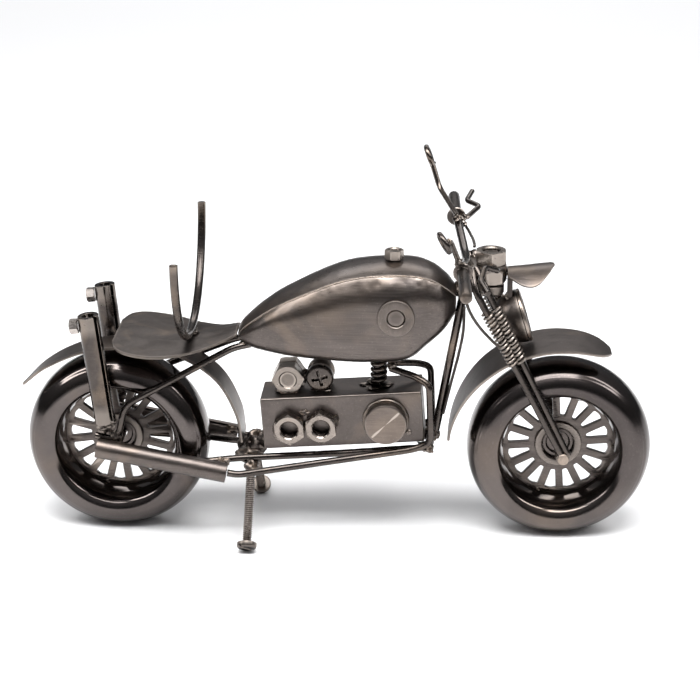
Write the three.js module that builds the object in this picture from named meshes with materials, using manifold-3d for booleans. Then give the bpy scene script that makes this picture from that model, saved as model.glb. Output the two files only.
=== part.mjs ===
// Welded steel motorcycle sculpture that carries a wine bottle across its seat.
// Millimetres, +X forward, +Z up, +Y to the rider's left.
// While it is modelled, x = 0 is the rear axle and z = 0 is the floor.
// The last lines move the whole group so that its origin is the middle of its footprint.
import * as THREE from "three";
import { mergeVertices } from "three/addons/utils/BufferGeometryUtils.js";
import Module from "manifold-3d";

const wasm = await Module();
wasm.setup();

// ---------------------------------------------------------------- driving dimensions
const gap = 0.3; // left between two pieces that are welded or seated on each other

const wheelRadius = 55;
const wheelBase = 265;
const tyreWidth = 37;
const tyreWall = 1.6;
const tyreLipRadius = 38; // where the side wall turns into the dish
const spokeCount = 16;
const spokeWidth = 3;
const spokeRingOuter = 30.7;
const spokeRingInner = 17;
const discThickness = 3.4;
const discOffset = 3.5; // the spoke disc sits left of the wheel's middle plane
const hubFlangeRadius = 14;
const hubCupRadius = 10.6;
const hubWall = 1.6;
const axleRadius = 3;
const axleClearance = 0.5;

const rodRadius = 2.5; // main frame and fork rods
const thinRodRadius = 2.1; // stays and header pipes
const railRadius = 2.1; // lower frame rail
const railDrop = 6.8; // rail's middle under the engine block
const wireRadius = 0.9; // cables

const seatRise = 10; // seat crown above the top of the rear tyre
const seatHalfWidth = 38;
const seatRearX = 1.5; // rear edge, in front of the shock tubes
const seatToTank = 1.5;
const sheetThickness = 1.5;

const cradleRadius = 63; // middle of the rod, half a circle
const cradleSweep = 88; // degrees from the bottom to each tip
const cradleX = 45;
const cradleWeld = 0.35; // rod above the seat sheet, besides the gap

const tankBehind = 20; // tank's tail in front of the rear tyre
const tankHalfWidth = 24;
const tankHeight = 60;
const capAcrossFlats = 10;
const capHeight = 5.5;
const washerRadius = 10.9;
const washerBore = 5.4; // bore radius
const washerThickness = 2;

const headSetback = 43; // head axis behind the front axle
const restSteer = 2.6; // degrees, the bars stand slightly to the left at rest

const engineLength = 96;
const engineHeight = 32;
const engineDepth = 30;
const enginePitch = 4.2; // degrees, front end up
const engineSetback = 86; // middle behind the head axis
const engineBelowTank = 24;

const nutAcrossFlats = 17;
const nutHeight = 8;
const nutBore = 5; // bore radius
const m10 = 4.6; // thread radius
const slugRadius = 12.5;
const slugHeight = 6;
// Places along the block, measured from its middle.
const nutRearX = -31.3;
const nutRise = -1.5;
const cylinderX = -31;
const screwX = -12;
const slugX = 26;
const intakeX = 21;

const mufflerRadius = 6;
const mufflerLength = 77;
const mufflerWall = 1.2;
const mufflerDrop = 14.3; // front end below the rear end
const mufflerRearX = -9;

const shockRadius = 6.2;
const shockLength = 68;
const shockWall = 1.4;

const springRadius = 3.6;
const springLength = 38;

const frontFenderGap = 10.3; // clear height over the front tyre
const stayTopSide = 8.5; // stays beside the tank's tail

const handlebarHalfWidth = 99;
const gripLength = 45;
const gripRadius = 3.5;
const barHeight = 71; // grips above the top of the front tyre

const stemRadius = m10; // threaded steering stem
const bearingClearance = 0.5;
const clampThickness = 3;
const clampDrop = 15; // underside of the fork plate below the grips
const lugDrop = 24.5; // top of the frame's steering lug below the grips
const lugHeight = 5;
const lugRadius = 8;

const stalkRadius = 1.6;
const mirrorRadius = 5.4;
const collarRadius = 5.6;

const lampRadius = 16;
const lampDepth = 17;
const lampNod = 17; // degrees, face turned up
const lampDrop = 44; // middle of the rim below the grips
const peakDrop = 13;

const standSplay = 41; // degrees from vertical
const standBoltRadius = 2.7;
const standHeadRadius = 6;
const standHeadHeight = 3.6;
const standTopSide = 14.6; // upper ends from the middle plane
const standUnderRail = 3.2; // upper ends below the rail's middle

// ---------------------------------------------------------------- derived places
const axleZ = wheelRadius;
const tyreHalf = tyreWidth / 2;
const discInner = discOffset - discThickness / 2;
const discOuter = discOffset + discThickness / 2;
const seatZ = 2 * wheelRadius + seatRise;
const tankRearX = wheelRadius + tankBehind;
const seatLength = tankRearX - seatToTank - seatRearX;
const tankBottomZ = seatZ - 6;
const tankKeelZ = tankBottomZ - 0.037 * tankHeight - 0.8 - sheetThickness;
const headX = wheelBase - headSetback;
const engineTopZ = tankBottomZ - engineBelowTank;
const engineCentre = [headX - engineSetback, engineTopZ - engineHeight / 2];
const engineBottomZ = engineTopZ - engineHeight;
const railRearZ = engineBottomZ - railDrop - 3.7; // rail under the stand bolts' joint
const forkSide = tyreHalf + gap + rodRadius + 3.2; // fork rods beside the front tyre
const frontFenderHalfWidth = forkSide - springRadius - gap - 0.1; // fits between the springs
const staySide = tyreHalf + gap + thinRodRadius + 1; // stays beside the rear tyre
const rearFenderHalfWidth = stayTopSide + 0.1866 * (staySide - stayTopSide); // meets the stays
const railSide = tyreHalf + gap + railRadius + 0.4;
const springFoot = wheelRadius + frontFenderGap - 0.1; // from the front axle
const mufflerSide = staySide + thinRodRadius + mufflerRadius + gap;
const mufflerRearZ = axleZ + 4.5;
const barZ = 2 * wheelRadius + barHeight;
const barX = headX - 18.5;
const clampZ = barZ - clampDrop;
const lugZ = barZ - lugDrop;
const lampZ = barZ - lampDrop;
const peakZ = barZ - peakDrop;
const rad = THREE.MathUtils.degToRad;

// ---------------------------------------------------------------- finishes
function finish(color, roughness, metalness = 1) {
  return new THREE.MeshStandardMaterial({ color, roughness, metalness });
}
const gunmetal = finish(0x4d4846, 0.38);
const darkSteel = finish(0x35322f, 0.45);
const brushedSheet = finish(0x5b5552, 0.42);
const tyreFinish = finish(0x454140, 0.32);
const wornNickel = finish(0x8a807a, 0.4);
const brightNut = finish(0xb5aea6, 0.3);
const cableBlack = finish(0x2c2a2a, 0.5, 0.4);

// ---------------------------------------------------------------- geometry helpers
const V = (x, y, z) => new THREE.Vector3(x, y, z);

function mesh(name, geometry, material) {
  const m = new THREE.Mesh(geometry, material);
  m.name = name;
  return m;
}

// A closed geometry as a solid, for cutting and joining.
function solid(geometry) {
  const bare = geometry.clone();
  bare.deleteAttribute("normal");
  bare.deleteAttribute("uv");
  const merged = mergeVertices(bare, 1e-4);
  return new wasm.Manifold(
    new wasm.Mesh({
      numProp: 3,
      vertProperties: merged.attributes.position.array,
      triVerts: new Uint32Array(merged.index.array),
    }),
  );
}

function geometryOf(manifold) {
  const out = manifold.getMesh();
  const g = new THREE.BufferGeometry();
  g.setAttribute("position", new THREE.BufferAttribute(out.vertProperties, 3));
  g.setIndex(new THREE.BufferAttribute(out.triVerts, 1));
  return g;
}

function join(...geometries) {
  return geometryOf(geometries.map(solid).reduce((a, b) => a.add(b)));
}

function cut(geometry, ...tools) {
  return geometryOf(tools.map(solid).reduce((a, b) => a.subtract(b), solid(geometry)));
}

// Straight round bar between two points.
function bar(from, to, radius, sides = 12) {
  const along = to.clone().sub(from);
  const g = new THREE.CylinderGeometry(radius, radius, along.length(), sides);
  const turn = new THREE.Quaternion().setFromUnitVectors(V(0, 1, 0), along.clone().normalize());
  g.applyQuaternion(turn);
  g.translate(...from.clone().add(to).multiplyScalar(0.5).toArray());
  return g;
}

// A path through points with its corners rounded to the bend length.
function bentPath(points, bend) {
  const path = new THREE.CurvePath();
  let start = points[0];
  for (let i = 1; i < points.length - 1; i++) {
    const corner = points[i];
    const back = points[i - 1].clone().sub(corner);
    const ahead = points[i + 1].clone().sub(corner);
    const reach = Math.min(bend, back.length() * 0.45, ahead.length() * 0.45);
    const enter = corner.clone().add(back.setLength(reach));
    const leave = corner.clone().add(ahead.setLength(reach));
    path.add(new THREE.LineCurve3(start, enter));
    path.add(new THREE.QuadraticBezierCurve3(enter, corner, leave));
    start = leave;
  }
  path.add(new THREE.LineCurve3(start, points[points.length - 1]));
  return path;
}

// Round section swept along a path.
function sweep(path, radius, steps, sides = 8) {
  const section = new THREE.Shape();
  for (let i = 0; i < sides; i++) {
    const a = (2 * Math.PI * i) / sides;
    if (i === 0) section.moveTo(radius, 0);
    else section.lineTo(radius * Math.cos(a), radius * Math.sin(a));
  }
  return new THREE.ExtrudeGeometry(section, { steps, extrudePath: path, bevelEnabled: false });
}

function bentRod(points, radius, bend, steps, sides = 8) {
  return sweep(bentPath(points, bend), radius, steps, sides);
}

// Solid of revolution about the Y axis from [radius, y] pairs that close on themselves.
function ring(profile, segments) {
  const points = profile.map(([r, y]) => new THREE.Vector2(r, y));
  points.push(points[0].clone());
  return new THREE.LatheGeometry(points, segments);
}

// Solid of revolution about the Y axis from [radius, y] pairs that start and end on the axis.
function turned(profile, segments) {
  return new THREE.LatheGeometry(profile.map(([r, y]) => new THREE.Vector2(r, y)), segments);
}

// Faces outwards whatever way its profile ran.
function facingOut(geometry) {
  const s = solid(geometry);
  if (s.volume() > 0) return geometry;
  const flipped = geometry.index ? geometry.toNonIndexed() : geometry.clone();
  const p = flipped.attributes.position;
  for (let i = 0; i < p.count; i += 3) {
    const b = new THREE.Vector3().fromBufferAttribute(p, i + 1);
    const c = new THREE.Vector3().fromBufferAttribute(p, i + 2);
    p.setXYZ(i + 1, c.x, c.y, c.z);
    p.setXYZ(i + 2, b.x, b.y, b.z);
  }
  return flipped;
}

// Curved plate: point(u, v) gives one face, and the plate grows along the surface normal.
function plate(point, nu, nv, thickness) {
  const step = 1e-3;
  const clampedPoint = (u, v) => point(Math.min(1, Math.max(0, u)), Math.min(1, Math.max(0, v)));
  const vertices = [];
  for (const side of [0, thickness])
    for (let i = 0; i <= nu; i++)
      for (let j = 0; j <= nv; j++) {
        const u = i / nu;
        const v = j / nv;
        const du = clampedPoint(u + step, v).sub(clampedPoint(u - step, v));
        const dv = clampedPoint(u, v + step).sub(clampedPoint(u, v - step));
        const normal = du.cross(dv).normalize();
        vertices.push(...point(u, v).addScaledVector(normal, side).toArray());
      }
  const at = (layer, i, j) => layer * (nu + 1) * (nv + 1) + i * (nv + 1) + j;
  const index = [];
  const quad = (a, b, c, d) => index.push(a, b, c, a, c, d);
  for (let i = 0; i < nu; i++)
    for (let j = 0; j < nv; j++) {
      quad(at(0, i, j), at(0, i, j + 1), at(0, i + 1, j + 1), at(0, i + 1, j));
      quad(at(1, i, j), at(1, i + 1, j), at(1, i + 1, j + 1), at(1, i, j + 1));
    }
  for (let i = 0; i < nu; i++) {
    quad(at(0, i, 0), at(0, i + 1, 0), at(1, i + 1, 0), at(1, i, 0));
    quad(at(0, i + 1, nv), at(0, i, nv), at(1, i, nv), at(1, i + 1, nv));
  }
  for (let j = 0; j < nv; j++) {
    quad(at(0, 0, j + 1), at(0, 0, j), at(1, 0, j), at(1, 0, j + 1));
    quad(at(0, nu, j), at(0, nu, j + 1), at(1, nu, j + 1), at(1, nu, j));
  }
  const g = new THREE.BufferGeometry();
  g.setAttribute("position", new THREE.BufferAttribute(new Float32Array(vertices), 3));
  g.setIndex(index);
  return facingOut(g);
}

// Smooth value along [t, value] pairs.
function along(pairs) {
  const curve = new THREE.SplineCurve(pairs.map(([t, value]) => new THREE.Vector2(t, value)));
  const n = 60;
  const table = curve.getPoints(n);
  return (t) => {
    const k = table.findIndex((p) => p.x >= t);
    if (k <= 0) return k === 0 ? table[0].y : table[n].y;
    const [a, b] = [table[k - 1], table[k]];
    return a.y + ((b.y - a.y) * (t - a.x)) / (b.x - a.x || 1);
  };
}

// Hexagonal nut about the Z axis, standing on z = 0.
function hexNut(acrossFlats, height, bore, corner = 0) {
  const outline = new THREE.Shape();
  const r = acrossFlats / Math.sqrt(3);
  for (let i = 0; i < 6; i++) {
    const a = corner + (Math.PI * i) / 3;
    if (i === 0) outline.moveTo(r * Math.cos(a), r * Math.sin(a));
    else outline.lineTo(r * Math.cos(a), r * Math.sin(a));
  }
  outline.closePath();
  if (bore > 0) {
    const hole = new THREE.Path();
    hole.absarc(0, 0, bore, 0, 2 * Math.PI, true);
    outline.holes.push(hole);
  }
  return new THREE.ExtrudeGeometry(outline, { depth: height, bevelEnabled: false, curveSegments: 7 });
}

const sides = [
  ["right", -1],
  ["left", 1],
];

// ---------------------------------------------------------------- wheels
function tyreGeometry() {
  // Half outline from the tread's middle over the shoulder to the dish, as [radius, y].
  const outline = (side, end) => [
    [wheelRadius - 0.9, side * tyreHalf * 0.42],
    [wheelRadius - 3.6, side * tyreHalf * 0.74],
    [wheelRadius - 8.5, side * tyreHalf * 0.95],
    [wheelRadius - 13, side * tyreHalf],
    [tyreLipRadius, side * tyreHalf * 0.93],
    [tyreLipRadius - 3, side * tyreHalf * 0.72],
    [spokeRingOuter + 2.2, end],
  ];
  const inside = (side, end) => [
    [spokeRingOuter + 2.2 + tyreWall, end],
    [tyreLipRadius - 1.2, side * (tyreHalf * 0.72 - tyreWall)],
    [tyreLipRadius + 1, side * (tyreHalf * 0.93 - tyreWall)],
    [wheelRadius - 13, side * (tyreHalf - tyreWall)],
    [wheelRadius - 9.6, side * (tyreHalf * 0.95 - tyreWall)],
    [wheelRadius - 5, side * tyreHalf * 0.68],
    [wheelRadius - 2.6, side * tyreHalf * 0.38],
  ];
  const rightEnd = discInner - gap;
  const leftEnd = discOuter + gap;
  const profile = [
    ...outline(1, leftEnd),
    ...inside(1, leftEnd),
    [wheelRadius - tyreWall, 0],
    ...inside(-1, rightEnd).reverse(),
    ...outline(-1, rightEnd).reverse(),
    [wheelRadius, 0],
  ];
  return facingOut(ring(profile, 40));
}

function opening(angle) {
  const slope = Math.PI / spokeCount;
  const side = spokeWidth / 2;
  const half = (r) => slope - Math.asin(side / r);
  const corner = (r, sign) => {
    const a = angle + sign * half(r);
    return new THREE.Vector2(r * Math.cos(a), r * Math.sin(a));
  };
  const corners = [
    corner(spokeRingInner, -1),
    corner(spokeRingOuter, -1),
    corner(spokeRingOuter, 1),
    corner(spokeRingInner, 1),
  ];
  const cutBack = [0.25, 0.2, 0.2, 0.25];
  const hole = new THREE.Path();
  corners.forEach((p, i) => {
    const before = corners[(i + 3) % 4];
    const after = corners[(i + 1) % 4];
    const reach = cutBack[i] * Math.min(p.distanceTo(before), p.distanceTo(after));
    const enter = p.clone().add(before.clone().sub(p).setLength(reach));
    const leave = p.clone().add(after.clone().sub(p).setLength(reach));
    if (i === 0) hole.moveTo(enter.x, enter.y);
    else hole.lineTo(enter.x, enter.y);
    hole.lineTo(leave.x, leave.y);
  });
  hole.closePath();
  return hole;
}

function spokeDiscGeometry() {
  const outline = new THREE.Shape();
  outline.absarc(0, 0, spokeRingOuter + 3.4, 0, 2 * Math.PI, false);
  const bore = new THREE.Path();
  bore.absarc(0, 0, hubCupRadius + gap, 0, 2 * Math.PI, true);
  outline.holes.push(bore);
  for (let i = 0; i < spokeCount; i++) outline.holes.push(opening((2 * Math.PI * i) / spokeCount));
  const g = new THREE.ExtrudeGeometry(outline, {
    depth: discThickness,
    bevelEnabled: false,
    curveSegments: 22,
  });
  g.rotateX(Math.PI / 2);
  g.translate(0, discOuter, 0);
  return g;
}

function hubGeometry() {
  const bore = axleRadius + axleClearance;
  const flangeFace = discInner - gap;
  const cupBottom = discOuter + 4;
  return facingOut(
    ring(
      [
        [hubFlangeRadius, flangeFace - hubWall],
        [hubFlangeRadius, flangeFace],
        [hubCupRadius, flangeFace],
        [hubCupRadius, cupBottom],
        [bore, cupBottom],
        [bore, cupBottom - 3 * hubWall],
        [hubCupRadius - hubWall, cupBottom - 3 * hubWall],
        [hubCupRadius - hubWall, flangeFace - hubWall],
      ],
      24,
    ),
  );
}

function wheel(prefix) {
  const g = new THREE.Group();
  g.add(mesh(prefix + "_tyre", tyreGeometry(), tyreFinish));
  g.add(mesh(prefix + "_spoke_disc", spokeDiscGeometry(), gunmetal));
  g.add(mesh(prefix + "_hub", hubGeometry(), darkSteel));
  return g;
}

// ---------------------------------------------------------------- rear end
function rearEnd() {
  const g = new THREE.Group();
  const reach = staySide + thinRodRadius;
  const axle = bar(V(0, -reach, axleZ), V(0, reach, axleZ), axleRadius, 16);
  g.add(mesh("rear_axle", axle, darkSteel));
  for (const [side, s] of sides) {
    const y = s * staySide;
    // Stay: from under the tank, down beside the tyre to the axle, then back as a foot.
    const stay = bentRod(
      [
        V(tankRearX - 4, s * stayTopSide, tankBottomZ + 2.4),
        V(21, y, axleZ + 36.5),
        V(7, y, axleZ + 28),
        V(2.5, y, axleZ + 6),
        V(-11, y, axleZ + 9),
      ],
      thinRodRadius,
      9,
      22,
    );
    g.add(mesh("rear_stay_" + side, stay, gunmetal));
    g.add(shockTube(side, s));
    g.add(muffler(side, s));
  }
  return g;
}

// Rolled tube, open at the top, leaning back over the axle foot.
function shockTube(side, s) {
  const lean = new THREE.Group();
  lean.position.set(-3.8, s * (tyreHalf + shockRadius + 1.4), axleZ + 19.5);
  lean.rotation.set(rad(-2.2 * s), rad(-6), 0);
  const tube = ring(
    [
      [shockRadius, 0],
      [shockRadius, shockLength],
      [shockRadius - shockWall, shockLength],
      [shockRadius - shockWall, 0],
    ],
    18,
  );
  tube.rotateX(Math.PI / 2);
  lean.add(mesh("shock_tube_" + side, facingOut(tube), gunmetal));
  const nut = hexNut(8, 5, 0, Math.PI / 6);
  nut.rotateY(-Math.PI / 2);
  nut.translate(-shockRadius - gap, 0, shockLength - 6);
  lean.add(mesh("tail_nut_" + side, nut, brightNut));
  return lean;
}

// Closed in front, open at the back.
function muffler(side, s) {
  const tilt = Math.atan2(mufflerDrop, mufflerLength);
  const rear = V(mufflerRearX, s * mufflerSide, mufflerRearZ);
  const length = mufflerLength / Math.cos(tilt);
  const tube = turned(
    [
      [0, length - mufflerWall],
      [mufflerRadius - mufflerWall, length - mufflerWall],
      [mufflerRadius - mufflerWall, 0],
      [mufflerRadius, 0],
      [mufflerRadius, length],
      [0, length],
    ],
    18,
  );
  tube.rotateZ(-Math.PI / 2);
  const m = mesh("muffler_" + side, facingOut(tube), gunmetal);
  m.position.copy(rear);
  m.rotation.set(0, tilt, 0);
  return m;
}

function rearFender() {
  // Centre line of the narrow strip round the tyre, as [degrees, clear height over the tread].
  const round = [
    [150.36, 11.73],
    [131.78, 8.03],
    [107.24, 5.73],
    [80.69, 6.81],
    [56.31, 13.51],
    [34.55, 19.06],
    [15.32, 20.69],
    [1.51, 21.03],
  ];
  const line = new THREE.SplineCurve(
    round.map(([angle, clear]) => {
      const reach = wheelRadius + clear;
      return new THREE.Vector2(reach * Math.cos(rad(angle)), axleZ + reach * Math.sin(rad(angle)));
    }),
  );
  const half = along([
    [0, 1.2],
    [0.12, rearFenderHalfWidth * 0.72],
    [0.3, rearFenderHalfWidth],
    [1, rearFenderHalfWidth],
  ]);
  const strip = plate(
    (u, v) => {
      const p = line.getPoint(u);
      return V(p.x, (2 * v - 1) * half(u), p.y);
    },
    22,
    2,
    sheetThickness,
  );
  return mesh("rear_fender", strip, brushedSheet);
}

// ---------------------------------------------------------------- seat and cradle
const seatCrown = along([
  [0, 4.5],
  [0.3, 2],
  [0.58, 0.8],
  [0.8, 2.5],
  [1, 7],
]);

function seat() {
  // Outline half width along the length, from the rear edge to the nose.
  const half = along([
    [0, seatHalfWidth * 0.5],
    [0.06, seatHalfWidth * 0.86],
    [0.2, seatHalfWidth],
    [0.42, seatHalfWidth * 0.96],
    [0.62, seatHalfWidth * 0.66],
    [0.82, seatHalfWidth * 0.32],
    [1, seatHalfWidth * 0.18],
  ]);
  const sheet = plate(
    (u, v) => {
      const across = 2 * v - 1;
      const droop = 1.2 * across * across;
      const z = seatZ - sheetThickness + seatCrown(u) - droop;
      return V(seatRearX + u * seatLength, across * half(u), z);
    },
    14,
    8,
    sheetThickness,
  );
  return mesh("seat", sheet, brushedSheet);
}

function cradle() {
  const seatTop = seatZ + seatCrown((cradleX - seatRearX) / seatLength) + cradleWeld;
  const points = [];
  const bottom = seatTop + gap + rodRadius;
  const count = 16;
  for (let i = 0; i <= count; i++) {
    const a = rad(cradleSweep * ((2 * i) / count - 1));
    points.push(V(cradleX, cradleRadius * Math.sin(a), bottom + cradleRadius * (1 - Math.cos(a))));
  }
  const path = new THREE.CatmullRomCurve3(points);
  return mesh("bottle_cradle", sweep(path, rodRadius, 24, 8), gunmetal);
}

// ---------------------------------------------------------------- tank
// Half section of the tank at each fraction of its length.
const tankFrontX = headX - 21.2;
const tankLength = tankFrontX - tankRearX;
const tankSeam = along([
  [0, 0.22],
  [0.03, 0.31],
  [0.12, 0.47],
  [0.25, 0.64],
  [0.5, 0.865],
  [0.74, 0.925],
  [0.87, 0.89],
  [0.95, 0.79],
  [1, 0.68],
]);
const tankFloor = along([
  [0, 0.1],
  [0.1, 0.03],
  [0.4, -0.03],
  [0.65, -0.037],
  [0.79, 0],
  [0.88, 0.15],
  [0.95, 0.285],
  [1, 0.43],
]);
const tankSpread = along([
  [0, 0.3],
  [0.1, 0.62],
  [0.3, 0.92],
  [0.55, 1],
  [0.8, 0.97],
  [0.94, 0.76],
  [1, 0.42],
]);
const tankCrown = 0.012; // the top plate is nearly flat
const panelLip = sheetThickness + 0.7; // side panels start this far under the top plate's face

// Side panel: down from the seam, bulging to full width, and under to the middle.
function tankPanel(side, s) {
  const flankShare = 0.75; // of the panel's run, the rest goes under
  const tuckIn = 0.13; // narrower at the seam
  const turnIn = 0.2; // narrower at the bottom edge
  const fromKeel = 0.6;
  const underFall = 2;
  const shape = (u, v) => {
    const seamZ = tankBottomZ + tankSeam(u) * tankHeight - panelLip;
    const floorZ = tankBottomZ + tankFloor(u) * tankHeight;
    const fall = Math.max(seamZ - floorZ, 1);
    const flank = Math.min(v / flankShare, 1);
    const under = Math.max((v - flankShare) / (1 - flankShare), 0);
    const shoulder = 1 - Math.min(flank / 0.35, 1);
    const bottomEdge = Math.max((flank - 0.72) / 0.28, 0);
    const bulge = 1 - tuckIn * shoulder ** 2 - turnIn * bottomEdge ** 2;
    const y = tankHalfWidth * tankSpread(u) * bulge * (1 - under) + fromKeel * under;
    const z = seamZ - (fall - underFall) * flank - underFall * under;
    return V(tankRearX + u * tankLength, s * Math.max(y, fromKeel), z);
  };
  return mesh("tank_panel_" + side, plate(shape, 14, 8, s * sheetThickness), brushedSheet);
}

function tankTop() {
  const overhang = 0.4;
  const shape = (u, v) => {
    const across = 2 * v - 1;
    const w = tankHalfWidth * tankSpread(u) * 0.87 + overhang;
    const seamZ = tankBottomZ + tankSeam(u) * tankHeight - sheetThickness;
    const rise = tankCrown * tankHeight * (1 - Math.abs(across) ** 2.2);
    return V(tankRearX + u * tankLength, across * w, seamZ + rise);
  };
  return mesh("tank_top", plate(shape, 14, 6, sheetThickness), brushedSheet);
}

function tankFittings() {
  const g = new THREE.Group();
  const capAt = 0.72; // of the tank's length
  const capZ = tankBottomZ + (tankSeam(capAt) + tankCrown) * tankHeight + gap + 0.4;
  const cap = hexNut(capAcrossFlats, capHeight, 0, rad(10));
  cap.translate(tankRearX + capAt * tankLength, 0, capZ);
  g.add(mesh("tank_cap", cap, darkSteel));
  const washerX = tankRearX + 0.738 * tankLength;
  const washerZ = tankBottomZ + 0.485 * tankHeight;
  const inner = tankHalfWidth + sheetThickness + gap + 0.2;
  for (const [side, s] of sides) {
    const washer = ring(
      [
        [washerBore, 0],
        [washerRadius, 0],
        [washerRadius, s * washerThickness],
        [washerBore, s * washerThickness],
      ],
      28,
    );
    washer.translate(washerX, s * inner, washerZ);
    g.add(mesh("tank_washer_" + side, facingOut(washer), wornNickel));
  }
  return g;
}

// ---------------------------------------------------------------- engine
function engine() {
  const g = new THREE.Group();
  g.position.set(engineCentre[0], 0, engineCentre[1]);
  g.rotation.set(0, rad(-enginePitch), 0);
  const block = new THREE.BoxGeometry(engineLength, engineDepth, engineHeight);
  g.add(mesh("engine_block", block, gunmetal));
  for (const [side, s] of sides) {
    g.add(faceNuts(side, s));
    g.add(slug(side, s));
  }
  g.add(cylinders());
  return g;
}

// Two nuts flat on the block's face, corners up, with the weld between them.
function faceNuts(side, s) {
  const weldWidth = 1.9;
  const pitch = nutAcrossFlats + weldWidth;
  const pair = [0, 1].map((i) => {
    const nut = hexNut(nutAcrossFlats, nutHeight, nutBore, Math.PI / 6);
    nut.translate(nutRearX + i * pitch, nutRise, 0);
    return nut;
  });
  const weld = new THREE.BoxGeometry(weldWidth + 2.1, 5, 2.4);
  weld.translate(nutRearX + pitch / 2, nutRise, 1.2);
  const nuts = join(...pair, weld);
  if (s > 0) nuts.rotateY(Math.PI);
  nuts.rotateX(Math.PI / 2);
  if (s > 0) nuts.translate(2 * nutRearX + pitch, 0, 0);
  nuts.translate(0, s * (engineDepth / 2 + gap), 0);
  return mesh("face_nuts_" + side, nuts, wornNickel);
}

// Round steel slug on its thin backing disc.
function slug(side, s) {
  const backing = 1.8;
  const backingRadius = slugRadius + 1.3;
  const disc = turned(
    [
      [0, 0],
      [backingRadius, 0],
      [backingRadius, backing],
      [slugRadius, backing],
      [slugRadius, slugHeight + backing],
      [0, slugHeight + backing],
    ],
    28,
  );
  if (s < 0) disc.rotateX(Math.PI);
  disc.translate(slugX, s * (engineDepth / 2 + gap), -1);
  return mesh("slug_" + side, facingOut(disc), wornNickel);
}

// On the block's top: a nut pair on a bolt, and a large pan head screw, both lying across.
function cylinders() {
  const g = new THREE.Group();
  const reach = 8.6;
  const z = engineHeight / 2 + gap + nutAcrossFlats / 2;
  const across = (x, y0, y1, radius, sides) => bar(V(x, y0, z), V(x, y1, z), radius, sides);
  const nutEndingAt = (y) => {
    const nut = hexNut(nutAcrossFlats, nutHeight, 0, 0);
    nut.rotateX(Math.PI / 2);
    nut.translate(cylinderX, y, z);
    return nut;
  };
  const bolt = across(cylinderX, -reach, reach, m10, 14);
  g.add(mesh("cylinder_bolt", join(nutEndingAt(nutHeight - reach), nutEndingAt(reach), bolt), darkSteel));
  const headThickness = 5;
  const headRadius = nutAcrossFlats / 2 - gap;
  const screw = join(
    across(screwX, -reach, headThickness - reach, headRadius, 22),
    across(screwX, reach - headThickness, reach, headRadius, 22),
    across(screwX, -reach / 2, reach / 2, m10, 14),
  );
  g.add(mesh("cylinder_screw", screw, darkSteel));
  return g;
}

// Springy intake stub between the block and the tank.
function intake() {
  const x = engineCentre[0] + intakeX;
  const slope = Math.tan(rad(enginePitch));
  const foot = engineCentre[1] + engineHeight / 2 + intakeX * slope + gap + 0.6;
  const top = tankKeelZ - 2 * gap;
  const turns = 4;
  const pitch = (top - foot) / turns;
  const profile = [[0, 0]];
  for (let i = 0; i < turns; i++) {
    profile.push([5.2, i * pitch + 0.01]);
    profile.push([5.2, i * pitch + pitch * 0.6]);
    profile.push([4.3, i * pitch + pitch * 0.8]);
  }
  profile.push([0, top - foot]);
  const g = facingOut(turned(profile, 14));
  g.rotateX(Math.PI / 2);
  const m = mesh("intake_coil", g, darkSteel);
  m.position.set(x, 0, foot);
  return m;
}

// ---------------------------------------------------------------- frame and exhaust
function frameRods() {
  const g = new THREE.Group();
  const frontFoot = engineCentre[0] + engineLength / 2 + 6.5;
  const downFoot = V(frontFoot + 0.5, 0, engineBottomZ + 4);
  const downTopX = headX - 15.6;
  const downLean = Math.atan2(downTopX - downFoot.x, lugZ - downFoot.z);
  const downTopZ = lugZ - lugHeight - 2 * gap - rodRadius * Math.sin(downLean);
  const down = bar(V(downTopX, 0, downTopZ), downFoot, rodRadius, 10);
  g.add(mesh("down_tube", down, gunmetal));
  // One rod bent like a hairpin: back along both sides of the rear wheel.
  const railSideOf = (s) => [
    V(6, s * railSide, axleZ - 6.5),
    V(45, s * railSide, axleZ - 8),
    V(tankRearX - 4, s * 13.5, railRearZ),
    V(engineCentre[0], s * 10.5, engineBottomZ - railDrop),
    V(frontFoot - 2, s * 9, engineBottomZ - railDrop + 4.6),
  ];
  const hairpin = [...railSideOf(-1), ...railSideOf(1).reverse()];
  g.add(mesh("lower_rail", bentRod(hairpin, railRadius, 8, 44), darkSteel));
  const mufflerFront = [mufflerRearX + mufflerLength, mufflerRearZ - mufflerDrop];
  for (const [side, s] of sides) {
    const out = s * (engineDepth / 2 + thinRodRadius + gap);
    const end = s * mufflerSide;
    const header = bentRod(
      [
        V(engineCentre[0] + 28, s * 4.5, tankBottomZ - 10),
        V(engineCentre[0] + 44, s * 12, tankBottomZ - 12.5),
        V(frontFoot - 3, out * 0.9, tankBottomZ - 16),
        V(frontFoot - 1.5, out, engineBottomZ + 4),
        V(frontFoot - 12, out, engineBottomZ - 0.5),
        V(mufflerFront[0] + 7, end, mufflerFront[1] - 1),
        V(mufflerFront[0] + 2 * gap, end, mufflerFront[1]),
      ],
      thinRodRadius,
      7,
      28,
    );
    g.add(mesh("header_pipe_" + side, header, gunmetal));
  }
  return g;
}

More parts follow.
